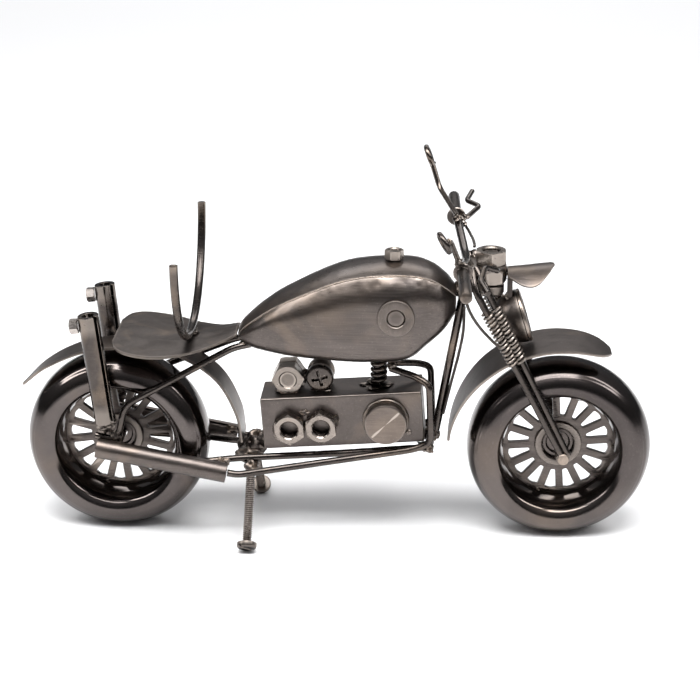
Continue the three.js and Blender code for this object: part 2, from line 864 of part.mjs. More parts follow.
function standBolts() {
  const g = new THREE.Group();
  const lean = rad(standSplay);
  for (const [side, s] of sides) {
    const up = V(0, -s * Math.sin(lean), Math.cos(lean));
    const head = [
      [0, -standHeadHeight],
      [standHeadRadius * 0.7, -standHeadHeight * 0.85],
      [standHeadRadius, -standHeadHeight * 0.35],
      [standHeadRadius, 0],
    ];
    const lift = Math.max(...head.map(([r, t]) => r * Math.sin(lean) - t * Math.cos(lean)));
    const length = (railRearZ - standUnderRail - lift) / Math.cos(lean);
    const foot = V(tankRearX + 6, s * (standTopSide + length * Math.sin(lean)), lift);
    const shank = [
      [standBoltRadius, 0],
      [standBoltRadius, length],
      [0, length],
    ];
    const bolt = facingOut(turned([...head, ...shank], 14));
    bolt.applyQuaternion(new THREE.Quaternion().setFromUnitVectors(V(0, 1, 0), up));
    bolt.translate(foot.x, foot.y, foot.z);
    g.add(mesh("stand_bolt_" + side, bolt, gunmetal));
  }
  return g;
}

// ---------------------------------------------------------------- steering
function steering() {
  const pivot = new THREE.Group();
  pivot.position.set(headX, 0, 0);
  pivot.rotation.set(0, 0, rad(restSteer));
  const g = new THREE.Group();
  g.position.set(-headX, 0, 0);
  pivot.add(g);
  g.add(fork());
  g.add(forkClamp());
  g.add(headNut());
  g.add(frontFender());
  g.add(lamp());
  g.add(handlebar());
  g.add(controls());
  g.add(steeredCables());
  const front = wheel("front");
  front.position.set(wheelBase, 0, axleZ);
  g.add(front);
  return pivot;
}

// Plate that joins the two fork legs, with the threaded stem that turns in the frame's lug.
function forkClamp() {
  const outline = new THREE.Shape();
  const wide = 12.4;
  const waist = 8.5;
  const nose = 4.7;
  outline.moveTo(-15, -wide);
  outline.lineTo(-6, -wide);
  outline.lineTo(2, -waist);
  outline.lineTo(9, -nose);
  outline.lineTo(9, nose);
  outline.lineTo(2, waist);
  outline.lineTo(-6, wide);
  outline.lineTo(-15, wide);
  outline.closePath();
  const flat = new THREE.ExtrudeGeometry(outline, { depth: clampThickness, bevelEnabled: false });
  flat.translate(headX, 0, clampZ);
  const stemFoot = V(headX, 0, lugZ - lugHeight - 2);
  const stem = bar(stemFoot, V(headX, 0, clampZ + clampThickness + nutHeight - 1.5), stemRadius, 14);
  const nut = hexNut(nutAcrossFlats, nutHeight, 0, rad(12));
  nut.translate(headX, 0, clampZ - nutHeight + 0.01);
  return mesh("fork_clamp", join(flat, stem, nut), gunmetal);
}

function headNut() {
  const nut = hexNut(nutAcrossFlats, nutHeight, stemRadius + gap, rad(28));
  nut.translate(headX, 0, clampZ + clampThickness + gap);
  return mesh("head_nut", nut, gunmetal);
}

// Ring on the frame that the stem turns in, with its arm back to the tank and down tube.
function headLug() {
  const collar = ring(
    [
      [stemRadius + bearingClearance, 0],
      [lugRadius, 0],
      [lugRadius, lugHeight],
      [stemRadius + bearingClearance, lugHeight],
    ],
    20,
  );
  collar.rotateX(-Math.PI / 2);
  collar.translate(headX, 0, lugZ);
  const armLength = headX - lugRadius + 1 - (tankFrontX + 2);
  const arm = new THREE.BoxGeometry(armLength, 7, lugHeight - 0.6);
  arm.translate(tankFrontX + 2 + armLength / 2, 0, lugZ - lugHeight / 2);
  return mesh("head_lug", join(facingOut(collar), arm), gunmetal);
}

function forkLine(s, shift) {
  const twin = V(5.3, -s * 1.6, 2.6);
  const y = s * forkSide;
  return [
    V(headX - 11.5, s * 15.5, clampZ + clampThickness + 1).addScaledVector(twin, shift * 0.4),
    V(headX - 10, y, clampZ - 6).addScaledVector(twin, shift),
    V(wheelBase + 1, y, axleZ + 1).addScaledVector(twin, shift * 0.55),
  ];
}

function fork() {
  const g = new THREE.Group();
  const reachY = forkSide - thinRodRadius - gap;
  const axle = bar(V(wheelBase, -reachY, axleZ), V(wheelBase, reachY, axleZ), axleRadius, 16);
  g.add(mesh("front_axle", axle, darkSteel));
  for (const [side, s] of sides) {
    const stubFrom = V(wheelBase + 0.8, s * (forkSide - thinRodRadius + 0.2), axleZ + 1);
    const stubTo = V(wheelBase + 0.8, s * (forkSide + 2.6), axleZ + 1);
    const rods = [0, 1].map((shift) => bentRod(forkLine(s, shift), thinRodRadius, 7, 13));
    g.add(mesh("fork_leg_" + side, join(...rods, bar(stubFrom, stubTo, 3.4, 14)), gunmetal));
    // Two coil springs side by side, one round each rod, standing on the fender's edge.
    const coil = (shift, radius, extra) => {
      const [, bend, foot] = forkLine(s, shift);
      const up = bend.clone().sub(foot).normalize();
      const from = foot.clone().addScaledVector(up, springFoot - extra);
      const to = foot.clone().addScaledVector(up, springFoot + springLength + extra);
      return bar(from, to, radius, 12);
    };
    const pair = join(coil(0, springRadius, 0), coil(1, springRadius, 0));
    const bores = [0, 1].map((shift) => coil(shift, thinRodRadius + gap, 2));
    g.add(mesh("fork_springs_" + side, cut(pair, ...bores), wornNickel));
  }
  return g;
}

function frontFender() {
  const radius = wheelRadius + frontFenderGap;
  const half = along([
    [0, frontFenderHalfWidth * 0.5],
    [0.07, frontFenderHalfWidth * 0.88],
    [0.3, frontFenderHalfWidth],
    [0.62, frontFenderHalfWidth * 0.9],
    [0.85, frontFenderHalfWidth * 0.55],
    [1, 1.2],
  ]);
  const strip = plate(
    (u, v) => {
      const a = rad(62 + 116 * u);
      const across = 2 * v - 1;
      const y = across * half(u);
      return V(wheelBase + radius * Math.cos(a), y, axleZ + radius * Math.sin(a));
    },
    24,
    4,
    sheetThickness,
  );
  return mesh("front_fender", strip, brushedSheet);
}

function lamp() {
  const g = new THREE.Group();
  const nod = new THREE.Group();
  nod.position.set(headX + 19, 0, lampZ);
  nod.rotation.set(0, rad(-lampNod), 0);
  const shell = facingOut(
    turned(
      [
        [0, -lampDepth],
        [lampRadius * 0.5, -lampDepth * 0.9],
        [lampRadius * 0.84, -lampDepth * 0.55],
        [lampRadius, 0],
        [lampRadius - sheetThickness, 0],
        [lampRadius * 0.76, -lampDepth * 0.48],
        [lampRadius * 0.42, -lampDepth * 0.8],
        [0, -lampDepth * 0.88],
      ],
      24,
    ),
  );
  shell.rotateZ(-Math.PI / 2);
  // Upright strap from the shell to the front edge of the fork plate.
  const strapFoot = lampZ + 11.6;
  const strapTop = clampZ - 2.2;
  const strap = new THREE.BoxGeometry(2.6, 11, strapTop - strapFoot);
  strap.translate(-7.6, 0, (strapFoot + strapTop) / 2 - lampZ);
  strap.rotateY(rad(lampNod));
  nod.add(mesh("headlight_bowl", join(shell, strap), darkSteel));
  const rim = facingOut(
    turned(
      [
        [0, gap],
        [lampRadius, gap],
        [lampRadius, 2],
        [lampRadius - 2, 2.6],
        [0, 2.2],
      ],
      24,
    ),
  );
  rim.rotateZ(-Math.PI / 2);
  nod.add(mesh("headlight_rim", rim, wornNickel));
  g.add(nod);
  // Leaf-shaped peak over the lamp.
  const half = along([
    [0, 9],
    [0.3, 15],
    [0.6, 15.5],
    [0.85, 9],
    [1, 0.8],
  ]);
  const peak = plate(
    (u, v) => {
      const across = 2 * v - 1;
      const w = half(u);
      return V(headX + 10 + 27 * u, across * w, peakZ - 0.035 * across * across * w * w - 3 * (1 - u));
    },
    12,
    6,
    sheetThickness,
  );
  g.add(mesh("headlight_peak", peak, brushedSheet));
  return g;
}

function handlebar() {
  const g = new THREE.Group();
  const inner = handlebarHalfWidth - gripLength;
  const middleZ = clampZ + clampThickness + gap + rodRadius;
  const middleX = headX - 14.5;
  const tube = bentRod(
    [
      V(barX, -inner + gap, barZ),
      V(barX + 0.5, -inner + 8, barZ),
      V(middleX, -8, middleZ),
      V(middleX, 8, middleZ),
      V(barX + 0.5, inner - 8, barZ),
      V(barX, inner - gap, barZ),
    ],
    rodRadius,
    9,
    24,
  );
  g.add(mesh("handlebar", tube, gunmetal));
  for (const [side, s] of sides) {
    const collarEnd = V(barX, s * (inner + 1.6), barZ);
    const grip = join(
      bar(V(barX, s * inner, barZ), V(barX, s * handlebarHalfWidth, barZ), gripRadius, 14),
      bar(V(barX, s * inner, barZ), collarEnd, collarRadius, 18),
    );
    g.add(mesh("grip_" + side, grip, wornNickel));
  }
  return g;
}

// Eyelet on a bent stalk that stands for a mirror. The two are bent a little differently by hand.
function mirror(side, stalk, centre, facing) {
  const rod = bentRod(stalk, stalkRadius, 4, 12, 6);
  const eye = new THREE.TorusGeometry(mirrorRadius, stalkRadius, 8, 18);
  eye.applyQuaternion(new THREE.Quaternion().setFromUnitVectors(V(0, 0, 1), facing.normalize()));
  eye.translate(...centre.toArray());
  return mesh("mirror_" + side, join(rod, eye), gunmetal);
}

function controls() {
  const g = new THREE.Group();
  const inner = handlebarHalfWidth - gripLength;
  const off = collarRadius + stalkRadius + gap;
  const onBar = rodRadius + stalkRadius + gap;
  const leftStalk = [
    V(barX, inner - 12, barZ + onBar),
    V(headX - 28.6, inner + 9.4, barZ + 15.5),
    V(headX - 33, inner + 15, barZ + 28.9),
  ];
  const leftEye = V(headX - 34.9, inner + 15, barZ + 34);
  const rightStalk = [
    V(barX - 3, -inner, barZ + off),
    V(headX - 25.8, -inner - 7, barZ + 20),
    V(headX - 27.5, -inner - 13, barZ + 21.5),
  ];
  const rightEye = V(headX - 29.8, -inner - 18.4, barZ + 22.8);
  g.add(mirror("left", leftStalk, leftEye, V(0.94, 0, 0.35)));
  g.add(mirror("right", rightStalk, rightEye, V(0.87, 0.22, 0.45)));
  // Zigzag rods in front of the grips that stand for the hand levers.
  const leftLever = [
    V(barX + off - 1.3, inner - 3, barZ + 0.5),
    V(headX - 4, inner + 10.5, barZ + 3.5),
    V(headX - 11.5, inner + 21, barZ + 4),
    V(headX - 7.5, inner + 35, barZ + 6),
  ];
  const rightLever = [
    V(headX + 1, -13, clampZ + clampThickness + stalkRadius + gap),
    V(headX + 2.5, -30, barZ - 7),
    V(headX - 5.5, -38, barZ - 2),
    V(headX - 8.6, -52, barZ - 6),
    V(headX - 5, -66, barZ - 8.4),
  ];
  g.add(mesh("lever_left", bentRod(leftLever, stalkRadius, 3, 16, 6), gunmetal));
  g.add(mesh("lever_right", bentRod(rightLever, stalkRadius, 3, 18, 6), gunmetal));
  return g;
}

// Cables held at both ends: from each collar to the fork, and one down the frame.
function steeredCables() {
  const g = new THREE.Group();
  const right = [
    V(headX - 19.5, -50, barZ - 7),
    V(headX - 17, -47, barZ - 14),
    V(headX - 15.6, -43, barZ - 22),
    V(headX - 12.5, -37, barZ - 31),
    V(headX - 7.5, -32.5, barZ - 40),
    V(headX - 1, -30.5, barZ - 48),
    V(headX + 5, -29.5, barZ - 54),
  ];
  const left = [
    V(headX - 13.5, 49, barZ - 3.5),
    V(headX - 11, 42, barZ - 6),
    V(headX - 9, 33, barZ - 8),
    V(headX - 8.5, 24, barZ - 9),
    V(headX - 9, 17, barZ - 7.2),
  ];
  g.add(mesh("cable_right", sweep(new THREE.CatmullRomCurve3(right), wireRadius, 20, 6), cableBlack));
  g.add(mesh("cable_left", sweep(new THREE.CatmullRomCurve3(left), wireRadius, 14, 6), cableBlack));
  return g;
}

function frameWire() {
  const y = -rodRadius - wireRadius - gap - 0.9;
  const route = [
    V(headX - 15, y, lugZ - lugHeight - 8),
    V(headX - 15.3, y, lugZ - 28),
    V(headX - 17.8, y, lugZ - 43),
    V(headX - 22.4, y, lugZ - 63),
    V(headX - 26.4, y, lugZ - 81),
  ];
  return mesh("frame_wire", sweep(new THREE.CatmullRomCurve3(route), wireRadius, 16, 6), cableBlack);
}

// ---------------------------------------------------------------- assembly
const motorcycle = new THREE.Group();
const rearWheel = wheel("rear");
rearWheel.position.set(0, 0, axleZ);
motorcycle.add(
  rearWheel,
  rearEnd(),
  rearFender(),
  seat(),
  cradle(),
  tankPanel(...sides[0]),
  tankPanel(...sides[1]),
  tankTop(),
  tankFittings(),
  engine(),
  intake(),
  frameRods(),
  headLug(),
  frameWire(),
  standBolts(),
  steering(),
);

motorcycle.updateMatrixWorld(true);
const bounds = new THREE.Box3().setFromObject(motorcycle, true);
const middle = bounds.getCenter(V(0, 0, 0));
motorcycle.position.set(-middle.x, -middle.y, -bounds.min.z);

export default motorcycle;
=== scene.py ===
"""Looks of the welded steel motorcycle bottle holder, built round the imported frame.

Lengths are millimetres in the modelling frame: x = 0 at the rear axle, z = 0 on the floor, +Y to the
rider's left. Piece.place() turns them into the frame's metres.
"""
import math

import bmesh
import bpy
from mathutils import Euler, Matrix, Vector, noise


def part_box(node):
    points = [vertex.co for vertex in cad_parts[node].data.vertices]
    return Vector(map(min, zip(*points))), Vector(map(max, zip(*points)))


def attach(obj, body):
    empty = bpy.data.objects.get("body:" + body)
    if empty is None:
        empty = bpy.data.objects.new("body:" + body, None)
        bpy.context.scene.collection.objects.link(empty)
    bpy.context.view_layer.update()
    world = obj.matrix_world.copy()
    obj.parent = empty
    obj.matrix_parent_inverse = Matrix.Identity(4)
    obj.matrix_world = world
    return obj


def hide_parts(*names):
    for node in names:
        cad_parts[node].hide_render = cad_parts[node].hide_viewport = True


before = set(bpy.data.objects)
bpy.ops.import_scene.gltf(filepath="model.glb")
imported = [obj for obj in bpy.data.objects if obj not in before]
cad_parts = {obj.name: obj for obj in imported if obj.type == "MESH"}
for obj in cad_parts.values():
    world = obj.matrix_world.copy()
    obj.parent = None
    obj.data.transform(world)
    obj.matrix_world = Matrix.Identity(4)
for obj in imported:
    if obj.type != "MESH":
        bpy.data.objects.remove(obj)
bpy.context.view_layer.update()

TAU = 2 * math.pi
_lo, _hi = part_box("rear_tyre")
ORIGIN = Vector(((_lo[0] + _hi[0]) / 2, (_lo[1] + _hi[1]) / 2, 0.0))

# ------------------------------------------------------------------ sizes shared with the frame
GAP = 0.3
WHEEL_R = 55.0
WHEEL_BASE = 265.0
TYRE_HALF = 18.5
LIP_R = 38.0
SLOT_OUT, SLOT_IN = 30.7, 17.0
DISC_MID, DISC_HALF = 3.5, 1.7
ROD, THIN, STALK = 2.5, 2.1, 1.6
SEAT_Z = 120.0
TANK_Z = 114.0
TANK_X = 75.0
TANK_HALF = 24.0
TANK_H = 60.0
HEAD_X = 222.0
TANK_L = HEAD_X - 21.2 - TANK_X
STEER = math.radians(2.6)
AF = 17.0
NUT_H = 8.0
BAR_Z = 181.0
BAR_X = HEAD_X - 18.5
CLAMP_Z = BAR_Z - 15
LUG_Z = BAR_Z - 24.5
AXLE_Z = WHEEL_R
ENG = Vector((136, 0, 74))
ENG_PITCH = math.radians(4.2)
ENG_L, ENG_D, ENG_H = 96.0, 30.0, 32.0
FORK_SIDE = TYRE_HALF + GAP + ROD + 3.2
STAY_SIDE = TYRE_HALF + GAP + THIN + 1
RAIL_SIDE = TYRE_HALF + GAP + THIN + 0.4
MUFFLER_SIDE = STAY_SIDE + THIN + 6 + GAP
SIDES = (("right", -1), ("left", 1))
SHEET = 1.5
SEAT_HALF, SEAT_LENGTH, SEAT_TO_TANK = 38.0, 72.0, 1.5
CRADLE_X, CRADLE_R = 45.0, 63.0
CRADLE_END = 88.0  # degrees up each side
SHOCK_R, SHOCK_LENGTH = 6.2, 68.0
MUFFLER_R, MUFFLER_RUN, MUFFLER_DROP = 6.0, 77.0, 14.3
FRONT_FENDER_R = WHEEL_R + 10.3
CABLE = 0.9
EYE_R = 5.4
SLOTS = 16
STAND_X, STAND_Y = 81.0, 48.7  # where a stand bolt's axis meets the floor
STAND_LEAN, STAND_REACH = math.radians(41), 58.5


def V(x, y, z):
    return Vector((x, y, z))


def shift(x, y, z):
    return Matrix.Translation((x, y, z))


def turn(degrees, axis):
    return Matrix.Rotation(math.radians(degrees), 4, axis)


def circle(r, z, n):
    """n points round +Z."""
    return [V(r * math.cos(TAU * j / n), r * math.sin(TAU * j / n), z) for j in range(n)]


def rounded(corners, radius, steps):
    """Closed outline whose corners are cut back by a length and rounded."""
    out = []
    for k, c in enumerate(corners):
        back, ahead = corners[k - 1] - c, corners[(k + 1) % len(corners)] - c
        a, b = c + back.normalized() * radius, c + ahead.normalized() * radius
        out += [arc_point(a, c, b, t / steps) for t in range(steps + 1)]
    return out


def arc_point(a, c, b, t):
    """A point on the curve from a to b that is drawn to the corner c."""
    return a * (1 - t) ** 2 + c * 2 * t * (1 - t) + b * t * t


# ------------------------------------------------------------------ mesh building
class Piece:
    """Vertices and faces gathered for one object."""

    def __init__(self):
        self.v = []
        self.f = []

    def add(self, other, matrix=None):
        """Joins another piece to this one, moved by a matrix."""
        base = len(self.v)
        self.v += [matrix @ p for p in other.v] if matrix else list(other.v)
        self.f += [[i + base for i in face] for face in other.f]
        return self

    def at(self, matrix):
        """A copy moved by a matrix."""
        return Piece().add(self, matrix)

    def face(self, *ids):
        self.f.append(list(ids))

    def grid(self, rows, wrap=False, ends=""):
        """A sheet through rows of points. wrap closes each row; ends holds a and/or b for its capped ends."""
        base, n = len(self.v), len(rows[0])
        for row in rows:
            self.v += row
        for i in range(len(rows) - 1):
            for j in range(n if wrap else n - 1):
                k = (j + 1) % n
                self.face(base + i * n + j, base + i * n + k, base + (i + 1) * n + k, base + (i + 1) * n + j)
        if "a" in ends:
            self.face(*[base + j for j in reversed(range(n))])
        if "b" in ends:
            last = base + (len(rows) - 1) * n
            self.face(*[last + j for j in range(n)])
        return self

    def lathe(self, profile, n=64, ends="ab", closed=False, wobble=None):
        """Profile of (radius, height) turned about +Z."""
        rows = []
        for r, z in profile:
            row = []
            for j in range(n):
                a = TAU * j / n
                rr = r + (wobble(a, z) if wobble else 0)
                row.append(V(rr * math.cos(a), rr * math.sin(a), z))
            rows.append(row)
        if closed:
            rows.append([p.copy() for p in rows[0]])
            ends = ""
        return self.grid(rows, wrap=True, ends=ends)

    def sweep(self, path, radius, n=20, ends="flat"):
        """Round section along a path of points. radius is a number or f(t, angle)."""
        fixed = not callable(radius)
        frames = transport(path)
        rows = []
        count = len(path) - 1

        def section(k, scale=1.0, push=0.0):
            p, t, u, w = frames[k]
            row = []
            for j in range(n):
                a = TAU * j / n
                r = (radius if fixed else radius(k / count, a)) * scale
                row.append(p + t * push + (u * math.cos(a) + w * math.sin(a)) * r)
            return row

        r0 = radius if fixed else radius(0, 0)
        r1 = radius if fixed else radius(1, 0)
        if ends == "round":
            rows = [section(0, 0.25, 0.0), section(0, 0.62, 0.06 * r0), section(0, 0.88, 0.22 * r0)]
        elif ends == "flat":
            rows = [section(0, 0.86, 0.0), section(0, 0.97, 0.05 * r0)]
        for k in range(count + 1):
            inset = (r0 if k == 0 else 0) - (r1 if k == count else 0)
            rows.append(section(k, 1.0, 0.14 * inset))
        if ends == "round":
            rows += [section(count, 0.88, -0.05 * r1), section(count, 0.62, 0.0),
                     section(count, 0.25, 0.04 * r1)]
        elif ends == "flat":
            rows += [section(count, 0.97, -0.05 * r1), section(count, 0.86, 0.0)]
        return self.grid(rows, wrap=True, ends="ab")

    def blob(self, centre, size, seed=0.0, rough=0.3, n=12):
        """Lumpy bead of weld."""
        rows = []
        for i in range(1, n):
            a = math.pi * i / n
            row = []
            for j in range(2 * n):
                b = TAU * j / (2 * n)
                d = V(math.sin(a) * math.cos(b), math.sin(a) * math.sin(b), math.cos(a))
                k = 1 + rough * noise.noise(d * 1.7 + V(seed, seed * 1.3,
                                                        0)) + 0.4 * rough * noise.noise(d * 5 + V(0, seed,
                        3))
                row.append(V(centre[0] + d.x * size[0] * k, centre[1] + d.y * size[1] * k,
                             centre[2] + d.z * size[2] * k))
            rows.append(row)
        return self.grid(rows, wrap=True, ends="ab")

    def beads(self, rows, seed, step, rough, n=12):
        """A bead of weld for each (x, y, z, half sizes), each with its own seed."""
        for k, (x, y, z, size) in enumerate(rows):
            self.blob((x, y, z), size, seed + step * k, rough, n)
        return self

    def turned_to(self, axis, at=(0, 0, 0)):
        """The piece with its +Z along axis and its origin at a point."""
        q = V(0, 0, 1).rotation_difference(Vector(axis).normalized())
        return self.at(Matrix.Translation(at) @ q.to_matrix().to_4x4())

    def place(self, name, mat, slot="gunmetal_plate", node=None, body="frame", sharp=32, steer=False,
              bevel=0.0):
        """Makes the object in the frame's metres, riding on its body and in the place of its CAD node."""
        m = Matrix.Translation(ORIGIN) @ Matrix.Scale(0.001, 4)
        if steer:
            m = m @ (shift(HEAD_X, 0, 0) @ Matrix.Rotation(STEER, 4, "Z") @ shift(-HEAD_X, 0, 0))
        mesh = bpy.data.meshes.new(name)
        mesh.from_pydata([m @ p for p in self.v], [], self.f)
        mesh.materials.append(mat)
        mesh.update()
        outward(mesh)
        mesh.polygons.foreach_set("use_smooth", [True] * len(mesh.polygons))
        mesh.set_sharp_from_angle(angle=math.radians(sharp))
        obj = bpy.data.objects.new(name, mesh)
        bpy.context.scene.collection.objects.link(obj)
        if bevel:
            mod = obj.modifiers.new("edge", "BEVEL")
            mod.width = bevel / 1000
            mod.segments = 3
            mod.limit_method = "ANGLE"
            mod.angle_limit = math.radians(40)
        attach(obj, body)
        if node:
            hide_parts(node)


def outward(mesh):
    """Welds doubled points and turns every face outward."""
    bm = bmesh.new()
    bm.from_mesh(mesh)
    bmesh.ops.remove_doubles(bm, verts=bm.verts, dist=1e-7)
    bmesh.ops.recalc_face_normals(bm, faces=bm.faces)
    bm.to_mesh(mesh)
    bm.free()


def transport(path):
    """(point, tangent, side, side) along a path, without twist."""
    out = []
    last = None
    for k, p in enumerate(path):
        a, b = path[max(k - 1, 0)], path[min(k + 1, len(path) - 1)]
        t = (b - a).normalized()
        if last is None:
            u = t.orthogonal().normalized()
        else:
            u = (last - t * last.dot(t)).normalized()
        last = u
        out.append((p, t, u, t.cross(u)))
    return out


def bent(points, bend, n=10):
    """Straight runs with each corner rounded over the bend length."""
    out = [points[0]]
    for i in range(1, len(points) - 1):
        c = points[i]
        back, ahead = points[i - 1] - c, points[i + 1] - c
        reach = min(bend, back.length * 0.45, ahead.length * 0.45)
        a, b = c + back.normalized() * reach, c + ahead.normalized() * reach
        out += [arc_point(a, c, b, k / n) for k in range(n + 1)]
    out.append(points[-1])
    return out


def spline(points, n):
    """n + 1 points on a smooth curve through the given ones."""
    pts = [points[0] * 2 - points[1]] + list(points) + [points[-1] * 2 - points[-2]]
    out = []
    spans = len(points) - 1
    for k in range(n + 1):
        s = min(k / n * spans, spans - 1e-9)
        i, t = int(s), s - int(s)
        a, b, c, d = pts[i:i + 4]
        square, cube = 2 * a - 5 * b + 4 * c - d, 3 * b - a - 3 * c + d
        out.append(0.5 * ((2 * b) + (c - a) * t + square * t * t + cube * t ** 3))
    return out


def smooth_profile(pairs, n):
    return [(p.x, p.y) for p in spline([V(r, z, 0) for r, z in pairs], n)]


def dense(path, step):
    """The same path with points no further apart than step."""
    out = [path[0]]
    for a, b in zip(path, path[1:]):
        n = max(1, int((b - a).length / step))
        out += [a.lerp(b, k / n) for k in range(1, n + 1)]
    return out


def along(pairs):
    """Smooth value along (t, value) pairs."""
    pts = spline([V(t, v, 0) for t, v in pairs], 60)

    def value(t):
        for a, b in zip(pts, pts[1:]):
            if b.x >= t:
                return a.y + (b.y - a.y) * (t - a.x) / ((b.x - a.x) or 1)
        return pts[-1].y
    return value


def sheet(point, nu, nv, thickness, flip=1, bump=None):
    """Curved plate with rounded edges. point(u, v) is one face; it grows along the surface normal."""
    step = 1e-3
    half = thickness / 2

    def at(u, v):
        return point(min(1, max(0, u)), min(1, max(0, v)))

    grid = []
    for i in range(nu + 1):
        row = []
        for j in range(nv + 1):
            u, v = i / nu, j / nv
            p = at(u, v)
            n = (at(u + step, v) - at(u - step, v)).cross(at(u, v + step) - at(u,
                    v - step)).normalized() * flip
            row.append((p, n))
        grid.append(row)
    piece = Piece()
    outer = [[p + n * (thickness + (bump(p) if bump else 0)) for p, n in row] for row in grid]
    inner = [[p.copy() for p, n in row] for row in grid]
    piece.grid(outer)
    base = len(piece.v)
    piece.grid(inner)
    w = nv + 1
    rim = [(0, j) for j in range(w)] + [(i, nv) for i in range(1, nu + 1)]
    rim += [(nu, j) for j in reversed(range(nv))] + [(i, 0) for i in reversed(range(1, nu))]
    middle = len(piece.v)
    centre = sum((grid[i][j][0] for i, j in rim), V(0, 0, 0)) / len(rim)
    for k, (i, j) in enumerate(rim):
        p, n = grid[i][j]
        a, b = rim[k - 1], rim[(k + 1) % len(rim)]
        t = (grid[b[0]][b[1]][0] - grid[a[0]][a[1]][0]).normalized()
        out = t.cross(n)
        if out.dot(p - centre) < 0:
            out = -out
        piece.v.append(p + n * half + out.normalized() * (0.22 * thickness))
    for k, (i, j) in enumerate(rim):
        ni, nj = rim[(k + 1) % len(rim)]
        nk = (k + 1) % len(rim)
        a, b = i * w + j, ni * w + nj
        piece.face(a, b, middle + nk, middle + k)
        piece.face(base + a, base + b, middle + nk, middle + k)
    return piece


def hexagon(angle, flats, corner=0.0):
    a = (angle - corner) % (TAU / 6) - TAU / 12
    return flats / 2 / math.cos(a)


def nut(flats, height, bore, corner=0.0, n=96, pitch=1.5):
    """Hexagonal nut about +Z from z = 0, chamfered, with a threaded bore."""
    crown = flats / 2 * 0.985
    slope = math.tan(math.radians(30))

    def ring(r_of, z_of):
        angles = [TAU * j / n for j in range(n)]
        return [V(r_of(a) * math.cos(a), r_of(a) * math.sin(a), z_of(a)) for a in angles]

    def hexr(a):
        return hexagon(a, flats, corner)

    def drop(a):
        return max(hexr(a) - crown, 0) * slope

    inner = bore + 0.9
    foot = circle(inner, 0.0, n)
    rows = [foot, ring(lambda a: min(hexr(a), crown), lambda a: 0.0), ring(hexr, drop)]
    rows += [ring(hexr, lambda a: height - drop(a)), ring(lambda a: min(hexr(a), crown), lambda a: height)]
    rows.append(circle(inner, height, n))
    rows += thread_rows(bore + 0.15, 0.45, height - 0.7, 0.7, pitch, n, inside=True)
    rows.append(circle(inner, 0.0, n))
    return Piece().grid(rows, wrap=True)


def thread_rows(radius, depth, z0, z1, pitch, n, inside=False):
    """Rows of a screw thread between two heights, with its ends faded out."""
    steps = max(8, int(abs(z1 - z0) / pitch * 8))
    rows = []
    for i in range(steps + 1):
        z = z0 + (z1 - z0) * i / steps
        fade = min(1, min(i, steps - i) / 6)
        row = []
        for j in range(n):
            a = TAU * j / n
            t = (z / pitch - a / TAU) % 1
            wave = abs(2 * t - 1)
            wave = min(1, max(0, wave * 1.25 - 0.12))
            r = radius - depth * wave * fade if not inside else radius + depth * (wave - 0.5) * fade
            row.append(V(r * math.cos(a), r * math.sin(a), z))
        rows.append(row)
    return rows


def threaded_rod(radius, z0, z1, pitch=1.0, depth=0.36, n=32):
    core = 0.7 * radius
    rows = [circle(core, z0, n)] + thread_rows(radius, depth, z0, z1, pitch, n) + [circle(core, z1, n)]
    return Piece().grid(rows, wrap=True, ends="ab")


def helix(start, end, radius, turns, per_turn=28, phase=0.0):
    axis = end - start
    u = axis.orthogonal().normalized()
    w = axis.normalized().cross(u)
    n = int(turns * per_turn)
    out = []
    for k in range(n + 1):
        t = k / n
        a = phase + TAU * turns * t
        out.append(start + axis * t + (u * math.cos(a) + w * math.sin(a)) * radius)
    return out


# ------------------------------------------------------------------ materials
TONE = (0.66, 0.622, 0.61)  # the plating's own colour, over the greys below
RUST = (0.30, 0.225, 0.165)  # warm patches
BARE = (0.46, 0.40, 0.35)  # steel where the plating is worn through


